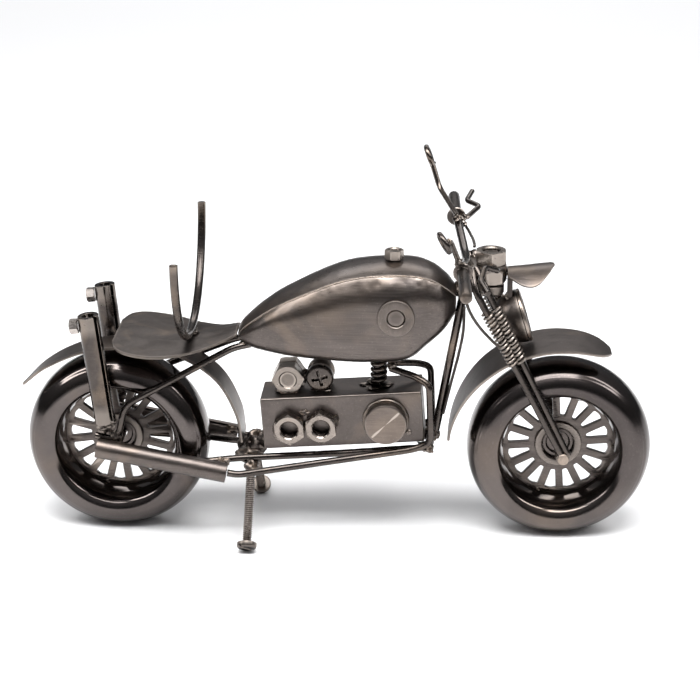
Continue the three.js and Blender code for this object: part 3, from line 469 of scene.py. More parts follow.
def plated(name, dark, light, rough, grain, brush, mottle, bump, warm, wear):
    """Dark plated steel: cloudy tone, brush lines along the least-scaled axis, warm patches, worn edges.

    dark and light are the greys that the tone runs between. brush is the share of brush lines in it, mottle
    the scale of the clouds, warm the strength of the brown patches and wear that of the bare edges.
    """
    dark = tuple(c * t for c, t in zip(dark, TONE))
    light = tuple(c * t for c, t in zip(light, TONE))
    m = bpy.data.materials.new(name)
    m.use_nodes = True
    nt = m.node_tree
    nt.nodes.clear()
    new = nt.nodes.new
    link = nt.links.new
    out = new("ShaderNodeOutputMaterial")
    bsdf = new("ShaderNodeBsdfPrincipled")
    link(bsdf.outputs[0], out.inputs[0])
    bsdf.inputs["Metallic"].default_value = 1.0
    coord = new("ShaderNodeTexCoord")

    def noise_tex(scale, detail, vector=None, distort=0.0, roughness=0.55):
        t = new("ShaderNodeTexNoise")
        t.inputs["Scale"].default_value = scale
        t.inputs["Detail"].default_value = detail
        t.inputs["Roughness"].default_value = roughness
        t.inputs["Distortion"].default_value = distort
        link(vector or coord.outputs["Object"], t.inputs["Vector"])
        return t.outputs[0]

    def ramp(value, lo, hi, to_lo=0.0, to_hi=1.0):
        r = new("ShaderNodeMapRange")
        for key, x in zip(("From Min", "From Max", "To Min", "To Max"), (lo, hi, to_lo, to_hi)):
            r.inputs[key].default_value = x
        link(value, r.inputs["Value"])
        return r.outputs[0]

    def math_node(op, a, b):
        n = new("ShaderNodeMath")
        n.operation = op
        for i, x in enumerate((a, b)):
            if isinstance(x, (int, float)):
                n.inputs[i].default_value = x
            else:
                link(x, n.inputs[i])
        return n.outputs[0]

    def mix(fac, a, b):
        n = new("ShaderNodeMix")
        n.data_type = "RGBA"
        link(fac, n.inputs[0])
        for i, x in ((6, a), (7, b)):
            if isinstance(x, tuple):
                n.inputs[i].default_value = (*x, 1)
            else:
                link(x, n.inputs[i])
        return n.outputs[2]

    cloud = ramp(noise_tex(mottle, 5, distort=0.6), 0.36, 0.66)
    fine = noise_tex(900, 3)
    stretch = new("ShaderNodeMapping")
    stretch.inputs["Scale"].default_value = grain
    link(coord.outputs["Object"], stretch.inputs["Vector"])
    lines = noise_tex(1.0, 4, stretch.outputs[0], roughness=0.7)
    streak = ramp(lines, 0.35, 0.65)
    tone = math_node("ADD", math_node("MULTIPLY", cloud, 1 - brush), math_node("MULTIPLY", streak, brush))
    colour = mix(tone, dark, light)
    patches = ramp(noise_tex(mottle * 0.7, 3, distort=1.2), 0.5, 0.72, 0, warm)
    colour = mix(patches, colour, RUST)
    speck = ramp(fine, 0.60, 0.72, 0, 0.35)
    colour = mix(speck, colour, tuple(min(1, c * 1.6) for c in light))
    geo = new("ShaderNodeNewGeometry")
    edge = ramp(geo.outputs["Pointiness"], 0.515, 0.60, 0, wear)
    colour = mix(edge, colour, BARE)
    link(colour, bsdf.inputs["Base Color"])
    r = math_node("ADD", ramp(cloud, 0, 1, rough + 0.06, rough - 0.04), ramp(streak, 0, 1, -0.03, 0.05))
    link(r, bsdf.inputs["Roughness"])
    height = math_node("ADD", math_node("MULTIPLY", lines, 0.7), math_node("MULTIPLY", fine, 0.5))
    b = new("ShaderNodeBump")
    b.inputs["Strength"].default_value = bump
    b.inputs["Distance"].default_value = 0.00012
    link(height, b.inputs["Height"])
    link(b.outputs[0], bsdf.inputs["Normal"])
    return m


tyre_mat = plated("tyre_plating", (0.092, 0.084, 0.082), (0.165, 0.152, 0.146), 0.15, (8, 8, 8), 0.15, 16,
                  0.05, 0.18, 0.12)
plate_mat = plated("gunmetal", (0.075, 0.068, 0.064), (0.14, 0.127, 0.12), 0.28, (60, 900, 900), 0.4, 26,
                   0.14, 0.3, 0.5)
dark_mat = plated("dark_plating", (0.060, 0.054, 0.051), (0.115, 0.104, 0.097), 0.36, (300, 300, 300), 0.2,
                  40, 0.2, 0.2, 0.6)
rod_mat = plated("rod_plating", (0.055, 0.050, 0.047), (0.115, 0.105, 0.098), 0.22, (40, 1200, 1200), 0.35,
                 30, 0.1, 0.4, 0.25)
sheet_mat = plated("brushed_sheet", (0.12, 0.108, 0.10), (0.20, 0.181, 0.17), 0.36, (30, 700, 1500), 0.55,
                   22, 0.14, 0.4, 0.5)
speckled = plated("speckled_sheet", (0.078, 0.070, 0.064), (0.150, 0.136, 0.126), 0.42, (500, 500, 500),
                  0.5, 60, 0.4, 0.25, 0.5)
nickel = plated("worn_nickel", (0.115, 0.103, 0.095), (0.225, 0.203, 0.186), 0.30, (500, 500, 90), 0.5, 30,
                0.16, 0.35, 0.4)
nut_mat = plated("nut_plating", (0.11, 0.10, 0.094), (0.20, 0.182, 0.17), 0.24, (400, 400, 400), 0.3, 50,
                 0.14, 0.3, 0.8)
bright = plated("bright_zinc", (0.46, 0.45, 0.44), (0.66, 0.65, 0.63), 0.24, (600, 600, 600), 0.3, 60, 0.14,
                0.1, 0.5)
weld_mat = plated("weld_bead", (0.045, 0.040, 0.038), (0.13, 0.115, 0.105), 0.34, (700, 700, 700), 0.5, 120,
                  0.5, 0.5, 0.5)
wire_mat = plated("dark_wire", (0.040, 0.037, 0.036), (0.085, 0.078, 0.074), 0.38, (100, 900, 900), 0.3, 60,
                  0.1, 0.1, 0.2)
seam_mat = plated("seam_bronze", (0.17, 0.145, 0.125), (0.36, 0.31, 0.265), 0.36, (900, 900, 900), 0.6, 90,
                  0.5, 0.6, 0.4)
tank_mat = plated("tank_sheet", (0.115, 0.104, 0.098), (0.20, 0.182, 0.17), 0.30, (26, 900, 1400), 0.55, 20,
                  0.12, 0.38, 0.4)
block_mat = plated("bar_stock", (0.11, 0.10, 0.094), (0.185, 0.168, 0.157), 0.34, (500, 500, 500), 0.3, 26,
                   0.12, 0.3, 0.8)
slug_mat = plated("turned_slug", (0.145, 0.127, 0.114), (0.27, 0.238, 0.214), 0.30, (90, 700, 1100), 0.35,
                  24, 0.08, 0.35, 0.8)
screw_mat = plated("screw_plating", (0.055, 0.050, 0.047), (0.135, 0.123, 0.115), 0.28, (400, 400, 400),
                   0.3, 50, 0.14, 0.2, 0.9)
spring_mat = plated("spring_steel", (0.115, 0.105, 0.098), (0.235, 0.215, 0.20), 0.28, (400, 400, 400), 0.2,
                    40, 0.08, 0.3, 0.6)
stub_mat = plated("cut_end", (0.34, 0.29, 0.245), (0.54, 0.47, 0.40), 0.36, (700, 700, 700), 0.4, 60, 0.2,
                  0.2, 0.3)
grip_mat = plated("grip_steel", (0.10, 0.091, 0.085), (0.21, 0.193, 0.18), 0.30, (900, 60, 900), 0.4, 40,
                  0.1, 0.3, 0.5)
bolt_mat = plated("screw_thread", (0.085, 0.077, 0.072), (0.17, 0.155, 0.145), 0.28, (500, 500, 500), 0.3,
                  40, 0.1, 0.4, 0.9)


# ------------------------------------------------------------------ camera, lights, floor
AZIMUTH, ELEVATION = math.radians(3.36), math.radians(20.392)
AIM = V(139.78, 0, 113.26) / 1000 + ORIGIN
DISTANCE, LENS = 1.2386, 107.28
FLOOR_HALF = 6.0


def stage():
    across = math.cos(ELEVATION)
    back = V(math.sin(AZIMUTH) * across, -math.cos(AZIMUTH) * across, math.sin(ELEVATION))
    cam = bpy.data.cameras.new("camera")
    cam.lens = LENS
    cam.sensor_width = 36
    cam.clip_start, cam.clip_end = 0.05, 30
    eye = bpy.data.objects.new("camera", cam)
    eye.rotation_mode = "QUATERNION"
    eye.location = AIM + back * DISTANCE
    eye.rotation_quaternion = (-back).to_track_quat("-Z", "Y")
    bpy.context.scene.collection.objects.link(eye)
    bpy.context.scene.camera = eye

    def softbox(name, at, size, power, aim=V(0, 0, 0.08)):
        light = bpy.data.lights.new(name, "AREA")
        light.shape = "RECTANGLE"
        light.size, light.size_y = size
        light.energy = power
        o = bpy.data.objects.new(name, light)
        o.location = at
        o.rotation_mode = "QUATERNION"
        o.rotation_quaternion = (aim - Vector(at)).to_track_quat("-Z", "Y")
        bpy.context.scene.collection.objects.link(o)

    softbox("top_box", (0.0, -0.42, 1.2), (1.1, 0.62), 26)
    softbox("left_box", (-1.05, -0.25, 1.05), (0.3, 0.8), 9)
    softbox("right_box", (1.05, -0.2, 1.05), (0.3, 0.8), 8)
    softbox("far_box", (0.0, 2.3, 2.0), (3.0, 1.2), 38, V(0, 2.3, 0))

    world = bpy.data.worlds.new("studio")
    world.use_nodes = True
    nt = world.node_tree
    bg = nt.nodes["Background"]
    coord = nt.nodes.new("ShaderNodeTexCoord")
    split = nt.nodes.new("ShaderNodeSeparateXYZ")
    grade = nt.nodes.new("ShaderNodeValToRGB")
    nt.links.new(coord.outputs["Generated"], split.inputs[0])
    nt.links.new(split.outputs[2], grade.inputs[0])
    nt.links.new(grade.outputs[0], bg.inputs[0])
    low, high = grade.color_ramp.elements
    low.position, high.position = 0.0, 0.9
    low.color, high.color = (0.045, 0.045, 0.047, 1), (0.42, 0.425, 0.44, 1)
    bg.inputs[1].default_value = 1.0
    bpy.context.scene.world = world
    bpy.context.scene.view_settings.view_transform = "Standard"

    floor = bpy.data.meshes.new("floor")
    s = FLOOR_HALF
    floor.from_pydata([(-s, -s, 0), (s, -s, 0), (s, s, 0), (-s, s, 0)], [], [(0, 1, 2, 3)])
    fo = bpy.data.objects.new("floor", floor)
    mat = bpy.data.materials.new("floor")
    mat.use_nodes = True
    fb = mat.node_tree.nodes["Principled BSDF"]
    fb.inputs["Base Color"].default_value = (0.86, 0.86, 0.865, 1)
    fb.inputs["Roughness"].default_value = 0.9
    floor.materials.append(mat)
    bpy.context.scene.collection.objects.link(fo)


stage()


# ------------------------------------------------------------------ wheels
def tyre():
    outline = [(WHEEL_R, 0), (WHEEL_R - 0.25, 4.2), (WHEEL_R - 1.2, 8.6), (WHEEL_R - 3.4, 13.0),
               (WHEEL_R - 5.2, 14.9), (WHEEL_R - 6.3, 15.9), (WHEEL_R - 9.0, 17.6), (WHEEL_R - 12.4, 18.45),
               (LIP_R + 2.2, 18.15), (LIP_R + 0.4, 17.35), (LIP_R - 1.3, 15.9), (LIP_R - 2.6, 13.4),
               (LIP_R - 3.9, 9.4), (LIP_R - 4.8, 6.2), ]
    half = smooth_profile(outline, 78)
    end_left = DISC_MID + DISC_HALF + GAP
    end_right = DISC_MID - DISC_HALF - GAP
    left = [(r, y) for r, y in half if y > end_left or r > LIP_R] + [(LIP_R - 5.1, end_left)]
    right = [(r, -y) for r, y in half] + [(LIP_R - 5.1, 2.4), (LIP_R - 5.1, end_right)]
    right = [(r, y) for r, y in right if not (r < LIP_R - 4.4 and y < -5.9)]
    inside = [(LIP_R - 3.4, end_right), (LIP_R - 1.2, -12), (WHEEL_R - 12, -16.8), (WHEEL_R - 4, -8),
              (WHEEL_R - 2, 0), (WHEEL_R - 4, 8), (WHEEL_R - 12, 16.8), (LIP_R - 1.2, 12),
              (LIP_R - 3.4, end_left)]
    profile = list(reversed(right))[:-1] + left + list(reversed(inside))
    p = Piece().lathe(profile, n=168, closed=True)
    for face in p.f:
        face.reverse()
    return p.turned_to((0, 1, 0))


def spoke_disc():
    """Cut from sheet: sixteen round-cornered slots, with softly broken edges."""
    curve = bpy.data.curves.new("disc_outline", "CURVE")
    curve.dimensions = "2D"
    curve.fill_mode = "BOTH"
    curve.extrude = (DISC_HALF - 0.35) / 1000
    curve.bevel_depth = 0.35 / 1000
    curve.bevel_resolution = 2

    def loop(points):
        s = curve.splines.new("POLY")
        s.points.add(len(points) - 1)
        for q, (x, y) in zip(s.points, points):
            q.co = (x / 1000, y / 1000, 0, 1)
        s.use_cyclic_u = True

    loop([(34.0 * math.cos(TAU * k / 128), 34.0 * math.sin(TAU * k / 128)) for k in range(128)])
    loop([(11.3 * math.cos(-TAU * k / 64), 11.3 * math.sin(-TAU * k / 64)) for k in range(64)])
    slope, side = math.pi / SLOTS, 1.5 + 0.35
    for i in range(SLOTS):
        mid = TAU * i / SLOTS
        corners = []
        for r, sign in ((SLOT_IN + 0.35, -1), (SLOT_OUT - 0.35, -1), (SLOT_OUT - 0.35, 1),
                        (SLOT_IN + 0.35, 1)):
            a = mid + sign * (slope - math.asin(side / r))
            corners.append(V(r * math.cos(a), r * math.sin(a), 0))
        pts = []
        for k, c in enumerate(corners):
            back, ahead = corners[k - 1] - c, corners[(k + 1) % 4] - c
            r = 1.7 if k in (1, 2) else 1.0
            a, b = c + back.normalized() * r, c + ahead.normalized() * r
            pts += [(q.x, q.y) for q in (arc_point(a, c, b, t) for t in (0, 0.2, 0.4, 0.6, 0.8, 1))]
            if k == 1:  # the outer edge follows the rim
                e = corners[2] + (c - corners[2]).normalized() * 1.7
                a0, a1 = math.atan2(b.y, b.x), math.atan2(e.y, e.x)
                if a1 - a0 < -math.pi:
                    a1 += TAU
                for t in (0.25, 0.5, 0.75):
                    a = a0 + (a1 - a0) * t
                    pts.append(((SLOT_OUT - 0.1) * math.cos(a), (SLOT_OUT - 0.1) * math.sin(a)))
        loop(list(reversed(pts)))
    holder = bpy.data.objects.new("disc_outline", curve)
    bpy.context.scene.collection.objects.link(holder)
    bpy.context.view_layer.update()
    done = bpy.data.meshes.new_from_object(holder.evaluated_get(bpy.context.evaluated_depsgraph_get()))
    p = Piece()
    p.v = [v.co * 1000 for v in done.vertices]
    p.f = [list(f.vertices) for f in done.polygons]
    bpy.data.objects.remove(holder)
    bpy.data.curves.remove(curve)
    bpy.data.meshes.remove(done)
    return p.turned_to((0, 1, 0), V(0, DISC_MID, 0))


def hub():
    """Stepped cup: flange against the disc, straight wall, floor with a raised ring and a boss."""
    face = DISC_MID - DISC_HALF - GAP
    floor = DISC_MID + DISC_HALF + 4
    prof = [(14.0, face - 0.1), (13.9, face - 1.2), (13.6, face - 1.6), (10.6, face - 1.6),
            (10.1, face - 1.4), (9.6, face - 0.9), (9.3, face + 0.2), (9.0, floor - 6.6),
            (8.9, floor - 6.2), (7.4, floor - 6.1), (7.1, floor - 5.7), (6.9, floor - 4.6),
            (6.5, floor - 4.3), (4.4, floor - 4.2), (3.7, floor - 4.1), (3.5, floor - 3.8),
            (3.5, floor - 0.2), (3.8, floor), (10.1, floor), (10.5, floor - 0.4), (10.6, floor - 1.0),
            (10.6, face), (13.8, face)]
    p = Piece().lathe(prof, n=96, closed=True)
    return p.turned_to((0, 1, 0))


def wheel(prefix, centre, spin, steer):
    """Tyre shell, spoke disc, hub, weld dots round the dish."""
    at = Matrix.Translation(centre) @ Matrix.Rotation(spin, 4, "Y")
    body = prefix + "_wheel"
    tyre().at(at).place(prefix + "_tyre_shell", tyre_mat, "tyre_shell", prefix + "_tyre", body=body,
                        sharp=60, steer=steer)
    spoke_disc().at(at).place(prefix + "_slotted_disc", plate_mat, "gunmetal_plate", prefix + "_spoke_disc",
                              body=body, steer=steer)
    hub().at(at).place(prefix + "_hub_cup", plate_mat, "dark_steel", prefix + "_hub", body=body, sharp=25,
                       steer=steer)
    dots = Piece()
    for k, a in enumerate((4, 128, 256)):
        a = math.radians(a)
        for r, size in ((32.2, 0.85), (33.0, 0.6)):
            b = a + 0.05 * (r - 32)
            dots.blob((r * math.cos(b), DISC_MID - DISC_HALF - 0.2, r * math.sin(b)), (size, 0.6, size),
                      seed=k + r, rough=0.25, n=7)
    dots.at(at).place(prefix + "_dish_welds", weld_mat, body=body, steer=steer)


wheel("rear", V(0, 0, AXLE_Z), 0.06, False)
wheel("front", V(WHEEL_BASE, 0, AXLE_Z), 0.13, True)


# ------------------------------------------------------------------ rear end
def pin(radius, y0, y1, n=40):
    return Piece().lathe([(radius * 0.8, y0), (radius, y0 + 0.5), (radius, y1 - 0.5), (radius * 0.8, y1)],
                         n=n).turned_to((0, 1, 0))


reach = STAY_SIDE + THIN
pin(3, -reach, reach).at(shift(0, 0, AXLE_Z)).place("rear_axle_pin", rod_mat, "dark_steel", "rear_axle")


def rolled_tube(radius, length, wall, slit, n=72):
    """Tube rolled from sheet about +Z, with an open slit centred on angle 0 and rounded lips."""
    def section(z):
        around = [slit / 2 + (TAU - slit) * k / n for k in range(n + 1)]
        pts = [(radius, a) for a in around] + [(radius - wall, a) for a in reversed(around)]
        return [V(r * math.cos(a), r * math.sin(a), z) for r, a in pts]
    tenths = (0.1, 0.2, 0.3, 0.4, 0.5, 0.6, 0.7, 0.8, 0.9)
    zs = [0, 0.25] + [length * t for t in tenths] + [length - 0.25, length]
    p = Piece()
    rows = [section(z) for z in zs]
    p.grid(rows, wrap=True)
    m = n + 1
    for base, flip in ((0, False), (len(rows) - 1, True)):
        first = base * 2 * m
        for k in range(n):
            quad = [first + k, first + k + 1, first + 2 * m - 2 - k, first + 2 * m - 1 - k]
            p.face(*(quad if flip else reversed(quad)))
    return p


for side, s in SIDES:
    y = s * STAY_SIDE
    stay = bent([V(TANK_X + 7, s * 7.2, TANK_Z + 4.6), V(TANK_X - 4, s * 8.5, TANK_Z + 2.4),
                 V(21, y, AXLE_Z + 36.5), V(7, y, AXLE_Z + 28), V(2.5, y, AXLE_Z + 6),
                 V(-11, y, AXLE_Z + 9)], 10, 12)
    Piece().sweep(dense(stay, 3), THIN, n=20).place("stay_rod_" + side, rod_mat, "gunmetal_plate",
                                                    "rear_stay_" + side)
    tipped = Euler((math.radians(-2.2 * s), math.radians(-6), 0)).to_matrix().to_4x4()
    lean = shift(-3.8, s * (TYRE_HALF + SHOCK_R + 1.4), AXLE_Z + 19.5) @ tipped
    tube = rolled_tube(SHOCK_R, SHOCK_LENGTH, 2.7, 0.36).at(turn(-38, "Z"))
    tube.at(lean).place("rolled_tube_" + side, rod_mat, "gunmetal_plate", "shock_tube_" + side, bevel=0.25)
    tail = nut(8, 5, 2.6, math.pi / 6, pitch=0.9, n=72).at(turn(-90, "Y"))
    tail = tail.at(shift(-SHOCK_R - GAP, 0, 62))
    shank = threaded_rod(2.65, 0.3, 4.6, 0.9, 0.25, 28).at(turn(-90, "Y"))
    tail.add(shank, shift(-SHOCK_R - GAP, 0, 62))
    tail.at(lean).place("tail_nut_bright_" + side, bright, "bright_nut", "tail_nut_" + side, sharp=28)
    welds = Piece()
    for x, out, z, size, seed in ((-4.5, 1.2, 15.5, (5.0, 3.0, 3.4), 0), (1.5, 0.6, 8.5, (3.2, 2.6, 4.4), 4),
                                  (-1.0, 1.5, 20.5, (3.6, 2.2, 2.6), 7)):
        welds.blob((x, s * (STAY_SIDE + out), AXLE_Z + z), size, seed + s, 0.6)
    welds.place("axle_weld_" + side, weld_mat)

    # muffler: rolled tube, closed by a plug near its front end
    tilt = math.atan2(MUFFLER_DROP, MUFFLER_RUN)
    length = MUFFLER_RUN / math.cos(tilt)
    at = shift(-9, s * MUFFLER_SIDE, AXLE_Z + 4.5) @ Matrix.Rotation(tilt, 4, "Y") @ turn(90, "Y")
    tube = rolled_tube(MUFFLER_R, length, 1.2, 0.30, n=80).at(turn(180 + 24 * s, "Z"))
    tube.add(Piece().lathe([(0.1, length - 2.6), (4.6, length - 2.6), (4.75, length - 2.2),
                            (4.75, length - 1.0), (4.4, length - 0.7), (0.1, length - 0.7)], n=48))
    tube.at(at).place("muffler_tube_" + side, sheet_mat, "gunmetal_plate", "muffler_" + side, bevel=0.2)
    clamp = Piece().blob((66.0, s * (MUFFLER_SIDE - 5.0), AXLE_Z - 5.2), (4.2, 2.4, 2.8), seed=11 + s,
                         rough=0.5)
    clamp.place("muffler_weld_" + side, weld_mat)


def rear_fender():
    line = spline([V(-58, 0, AXLE_Z + 33), V(-42, 0, AXLE_Z + 47), V(-18, 0, AXLE_Z + 58),
                   V(10, 0, AXLE_Z + 61), V(38, 0, AXLE_Z + 57), V(61, 0, AXLE_Z + 42),
                   V(73, 0, AXLE_Z + 20), V(76, 0, AXLE_Z + 2)], 160)
    half = along([(0, 1.2), (0.12, 7.9), (0.3, 11), (1, 11)])

    def point(u, v):
        k = min(u, 1) * 160
        i = min(int(k), 159)
        c = line[i].lerp(line[i + 1], k - i)
        return V(c.x, (2 * v - 1) * half(u), c.z)
    return sheet(point, 90, 10, SHEET, flip=-1)


p = rear_fender()
p.place("fender_strip_rear", sheet_mat, "brushed_sheet", "rear_fender")


# ------------------------------------------------------------------ seat and cradle
def seat():
    shares = ((0, 0.5), (0.06, 0.86), (0.2, 1), (0.42, 0.96), (0.62, 0.74), (0.82, 0.47), (1, 0.27))
    half = along([(t, SEAT_HALF * share) for t, share in shares])
    crown = along([(0, 4.5), (0.3, 2), (0.58, 0.8), (0.8, 2.5), (1, 7)])
    start = TANK_X - SEAT_LENGTH - SEAT_TO_TANK

    def point(u, v):
        a = 2 * v - 1
        lump = 0.35 * noise.noise(V(u * 5, a * 3, 1.7))
        return V(start + u * SEAT_LENGTH, a * half(u), SEAT_Z - 1.5 + crown(u) - 1.2 * a * a + lump)
    return sheet(point, 72, 44, SHEET)


p = seat()
p.place("seat_plate", speckled, "brushed_sheet", "seat")

cr_bottom = SEAT_Z + 1.2 + GAP + ROD
arc = []
for i in range(73):
    a = math.radians(CRADLE_END * (2 * i / 72 - 1))
    arc.append(V(CRADLE_X, CRADLE_R * math.sin(a), cr_bottom + CRADLE_R * (1 - math.cos(a))))
p = Piece().sweep(arc, ROD, n=24, ends="round")
p.place("cradle_rod", rod_mat, "gunmetal_plate", "bottle_cradle")
w = Piece()
w.blob((42.5, -1.5, SEAT_Z + 2.2), (2.0, 5.0, 1.3), seed=3, rough=0.5)
w.blob((47.6, 2.5, SEAT_Z + 2.2), (1.8, 4.2, 1.2), seed=5, rough=0.5)
w.place("cradle_weld", weld_mat)


# ------------------------------------------------------------------ tank
tank_seam = along([(0, 0.22), (0.03, 0.31), (0.12, 0.47), (0.25, 0.64), (0.5, 0.865), (0.74, 0.925),
                   (0.87, 0.89), (0.95, 0.79), (1, 0.68)])
tank_floor = along([(0, 0.1), (0.1, 0.03), (0.4, -0.03), (0.65, -0.037), (0.79, 0), (0.88, 0.15),
                    (0.95, 0.285), (1, 0.43)])
tank_spread = along([(0, 0.3), (0.1, 0.62), (0.3, 0.92), (0.55, 1), (0.8, 0.97), (0.94, 0.76), (1, 0.42)])


SEAM_DROP = 2.4  # the seam lies below the crest of the top plate
SEAM_TUCK = 0.25  # narrower at the seam


def flank_point(u, v, s):
    """Section of a side panel: down the flank from the seam, then under to the keel."""
    seam_z = TANK_Z + tank_seam(u) * TANK_H - 2.2 - SEAM_DROP
    fall = max(seam_z - TANK_Z - tank_floor(u) * TANK_H, 1)
    flank = min(v / 0.75, 1)
    under = max((v - 0.75) / 0.25, 0)
    shoulder = 1 - min(flank / 0.26, 1)
    low = max((flank - 0.72) / 0.28, 0)
    bulge = 1 - SEAM_TUCK * shoulder ** 1.7 - 0.2 * low ** 2
    y = TANK_HALF * tank_spread(u) * bulge * (1 - under) + 0.6 * under
    return V(TANK_X + u * TANK_L, s * max(y, 0.6), seam_z - (fall - 2) * flank - 2 * under)


def rounded_flank(u, v, s):
    """The same section with its corners rounded by averaging."""
    reach = min(0.06, v, 1 - v)
    if reach <= 0:
        return flank_point(u, v, s)
    total = V(0, 0, 0)
    for k in (-1, -0.5, 0, 0.5, 1):
        total += flank_point(u, v + k * reach, s)
    return total / 5


def hammered(p):
    """Hand-beaten dents, deepest on the front shoulder."""
    u = (p.x - TANK_X) / TANK_L
    seam_z = TANK_Z + tank_seam(min(1, max(0, u))) * TANK_H
    near_seam = max(0, 1 - (seam_z - p.z) / 14)
    front = min(1, max(0, (u - 0.52) / 0.12)) * min(1, max(0, (0.99 - u) / 0.05))
    dents = noise.noise(p / 6.5) * 0.75 + noise.noise(p / 3.4 + V(3, 1, 7)) * 0.3
    waves = noise.noise(p / 24 + V(5, 5, 5)) * 0.35
    return waves + dents * (0.06 + 0.85 * near_seam * front + 0.22 * near_seam)


for side, s in SIDES:
    panel = sheet(lambda u, v, s=s: rounded_flank(u, v, s), 130, 64, SHEET, flip=s, bump=hammered)
    panel.place("tank_flank_" + side, tank_mat, "brushed_sheet", "tank_panel_" + side, sharp=50)


def tank_top_point(u, v):
    a = 2 * v - 1
    w = TANK_HALF * tank_spread(u) * (1 - SEAM_TUCK) + 0.4
    crown = (0.72 + SEAM_DROP) * (1 - abs(a) ** 2.2)
    return V(TANK_X + u * TANK_L, a * w, TANK_Z + tank_seam(u) * TANK_H - 1.5 - SEAM_DROP + crown)


top = sheet(tank_top_point, 130, 30, SHEET,
            bump=lambda p: 0.3 * noise.noise(p / 17) + 0.12 * noise.noise(p / 6))
top.place("tank_lid", tank_mat, "brushed_sheet", "tank_top", sharp=50)

for side, s in SIDES:
    lip = []
    for k in range(201):
        u = k / 200
        p = tank_top_point(u, 0.5 + 0.5 * s)
        lip.append(p + V(0, s * 0.1, 0.35 + 0.12 * noise.noise(V(u * 40, s, 2))))

    def lip_radius(t, a, s=s):
        return 0.78 + 0.3 * noise.noise(V(t * 55, s * 3, 0)) + 0.16 * noise.noise(V(t * 160, math.cos(a),
                math.sin(a)))
    Piece().sweep(lip, lip_radius, n=12, ends="round").place("tank_seam_weld_" + side, seam_mat,
            "brushed_sheet", sharp=80)

cap_x = TANK_X + 0.72 * TANK_L
cap_z = TANK_Z + (tank_seam(0.72) + 0.012) * TANK_H + 0.7
cap = nut(10, 5.5, 3.0, math.radians(10), pitch=1.0, n=84)
cap.add(threaded_rod(3.0, 0.4, 4.6, 1.0, 0.3, 32))
cap = cap.at(shift(cap_x, 0, cap_z))
cap.place("tank_cap_nut", screw_mat, "dark_steel", "tank_cap", sharp=28)

WASHER_X, WASHER_Z = TANK_X + 0.738 * TANK_L, TANK_Z + 0.485 * TANK_H
for side, s in SIDES:
    profile = [(5.4, 0.2), (5.4, 1.55), (5.7, 1.9), (6.3, 2.0), (9.9, 2.0), (10.6, 1.85), (10.9, 1.4),
               (10.9, 0.3), (10.6, 0), (5.7, 0)]
    washer = Piece().lathe(profile, n=96, closed=True).turned_to((0, s, 0),
            V(WASHER_X, s * (TANK_HALF + 2), WASHER_Z))
    washer.place("tank_badge_washer_" + side, nickel, "worn_nickel", "tank_washer_" + side, sharp=28)
    plug = Piece().lathe([(4.9, -0.6), (4.9, 0.75), (4.5, 1.05), (2.2, 1.15), (0.3, 1.15)], n=64)
    plug.turned_to((0, s, 0), V(WASHER_X, s * (TANK_HALF + 2), WASHER_Z)).place("tank_badge_plug_" + side,
            sheet_mat, "worn_nickel")


# ------------------------------------------------------------------ engine
IN_ENGINE = Matrix.Translation(ENG) @ Matrix.Rotation(-ENG_PITCH, 4, "Y")


def bar_stock(length, depth, height, corner):
    """Length of rolled square bar along X, its edges slightly rounded and its faces not quite flat."""
    outline = []
    for cy, cz, start in ((1, 1, 0), (-1, 1, 90), (-1, -1, 180), (1, -1, 270)):
        for k in range(6):
            a = math.radians(start + 18 * k)
            outline.append((cy * (depth / 2 - corner) + corner * math.cos(a),
                            cz * (height / 2 - corner) + corner * math.sin(a)))
    full = []
    for k, (y, z) in enumerate(outline):
        y2, z2 = outline[(k + 1) % len(outline)]
        n = max(1, round(math.hypot(y2 - y, z2 - z) / 2))
        full += [(y + (y2 - y) * i / n, z + (z2 - z) * i / n) for i in range(n)]
    rows = []
    steps = 48
    ends = [(0, 0.9), (0.15, 0.35), (0.5, 0.08), (0.95, 0)]
    stations = [(e, cut) for e, cut in ends] + [(1 + (length - 2) * i / steps, 0) for i in range(steps + 1)]
    stations += [(length - e, cut) for e, cut in reversed(ends)]
    for x, cut in stations:
        row = []
        for y, z in full:
            wave = 0.16 * noise.noise(V(x / 14, y / 9, z / 9)) + 0.05 * noise.noise(V(x / 3, y / 3, z / 3))
            shrink_y = 1 - (cut - wave * 0.6) / (depth / 2)
            shrink_z = 1 - (cut - wave * 0.6) / (height / 2)
            row.append(V(x - length / 2, y * shrink_y, z * shrink_z))
        rows.append(row)
    return Piece().grid(rows, wrap=True, ends="ab")


block = bar_stock(ENG_L, ENG_D, ENG_H, 1.1).at(IN_ENGINE)
block.place("engine_bar", block_mat, "gunmetal_plate", "engine_block", sharp=40)


def facing(s, x, y, z):
    """A piece modelled about +Z turned to stand out of the engine's right (-1) or left (+1) face."""
    return IN_ENGINE @ shift(x, y, z) @ turn(-90 * s, "X")


def recess(radius, height, cut, rings=48, n=160):
    """Screw head about +Z with a drive recess. cut(x, y) is its depth."""
    rows = [circle(0.9 * radius, 0, n), circle(radius, 0.35, n), circle(radius, height * 0.55, n)]
    for i in range(rings):
        r = radius * (1 - (i + 0.35) / (rings + 0.2))
        edge = min(1, (radius - r) / (0.22 * radius))
        crown = height * (0.55 + 0.45 * math.sqrt(1 - (1 - edge) ** 2))
        row = []
        for j in range(n):
            a = TAU * j / n
            x, y = r * math.cos(a), r * math.sin(a)
            row.append(V(x, y, crown - cut(x, y)))
        rows.append(row)
    return Piece().grid(rows, wrap=True, ends="ab")


def cross_cut(x, y):
    """Cross recess with sloping ends."""
    across, reach = min(abs(x), abs(y)), max(abs(x), abs(y))
    arm = min(1, max(0, (1.05 - across) / 0.45))
    end = min(1, max(0, (5.0 - reach) / 1.2))
    return 2.2 * arm * end


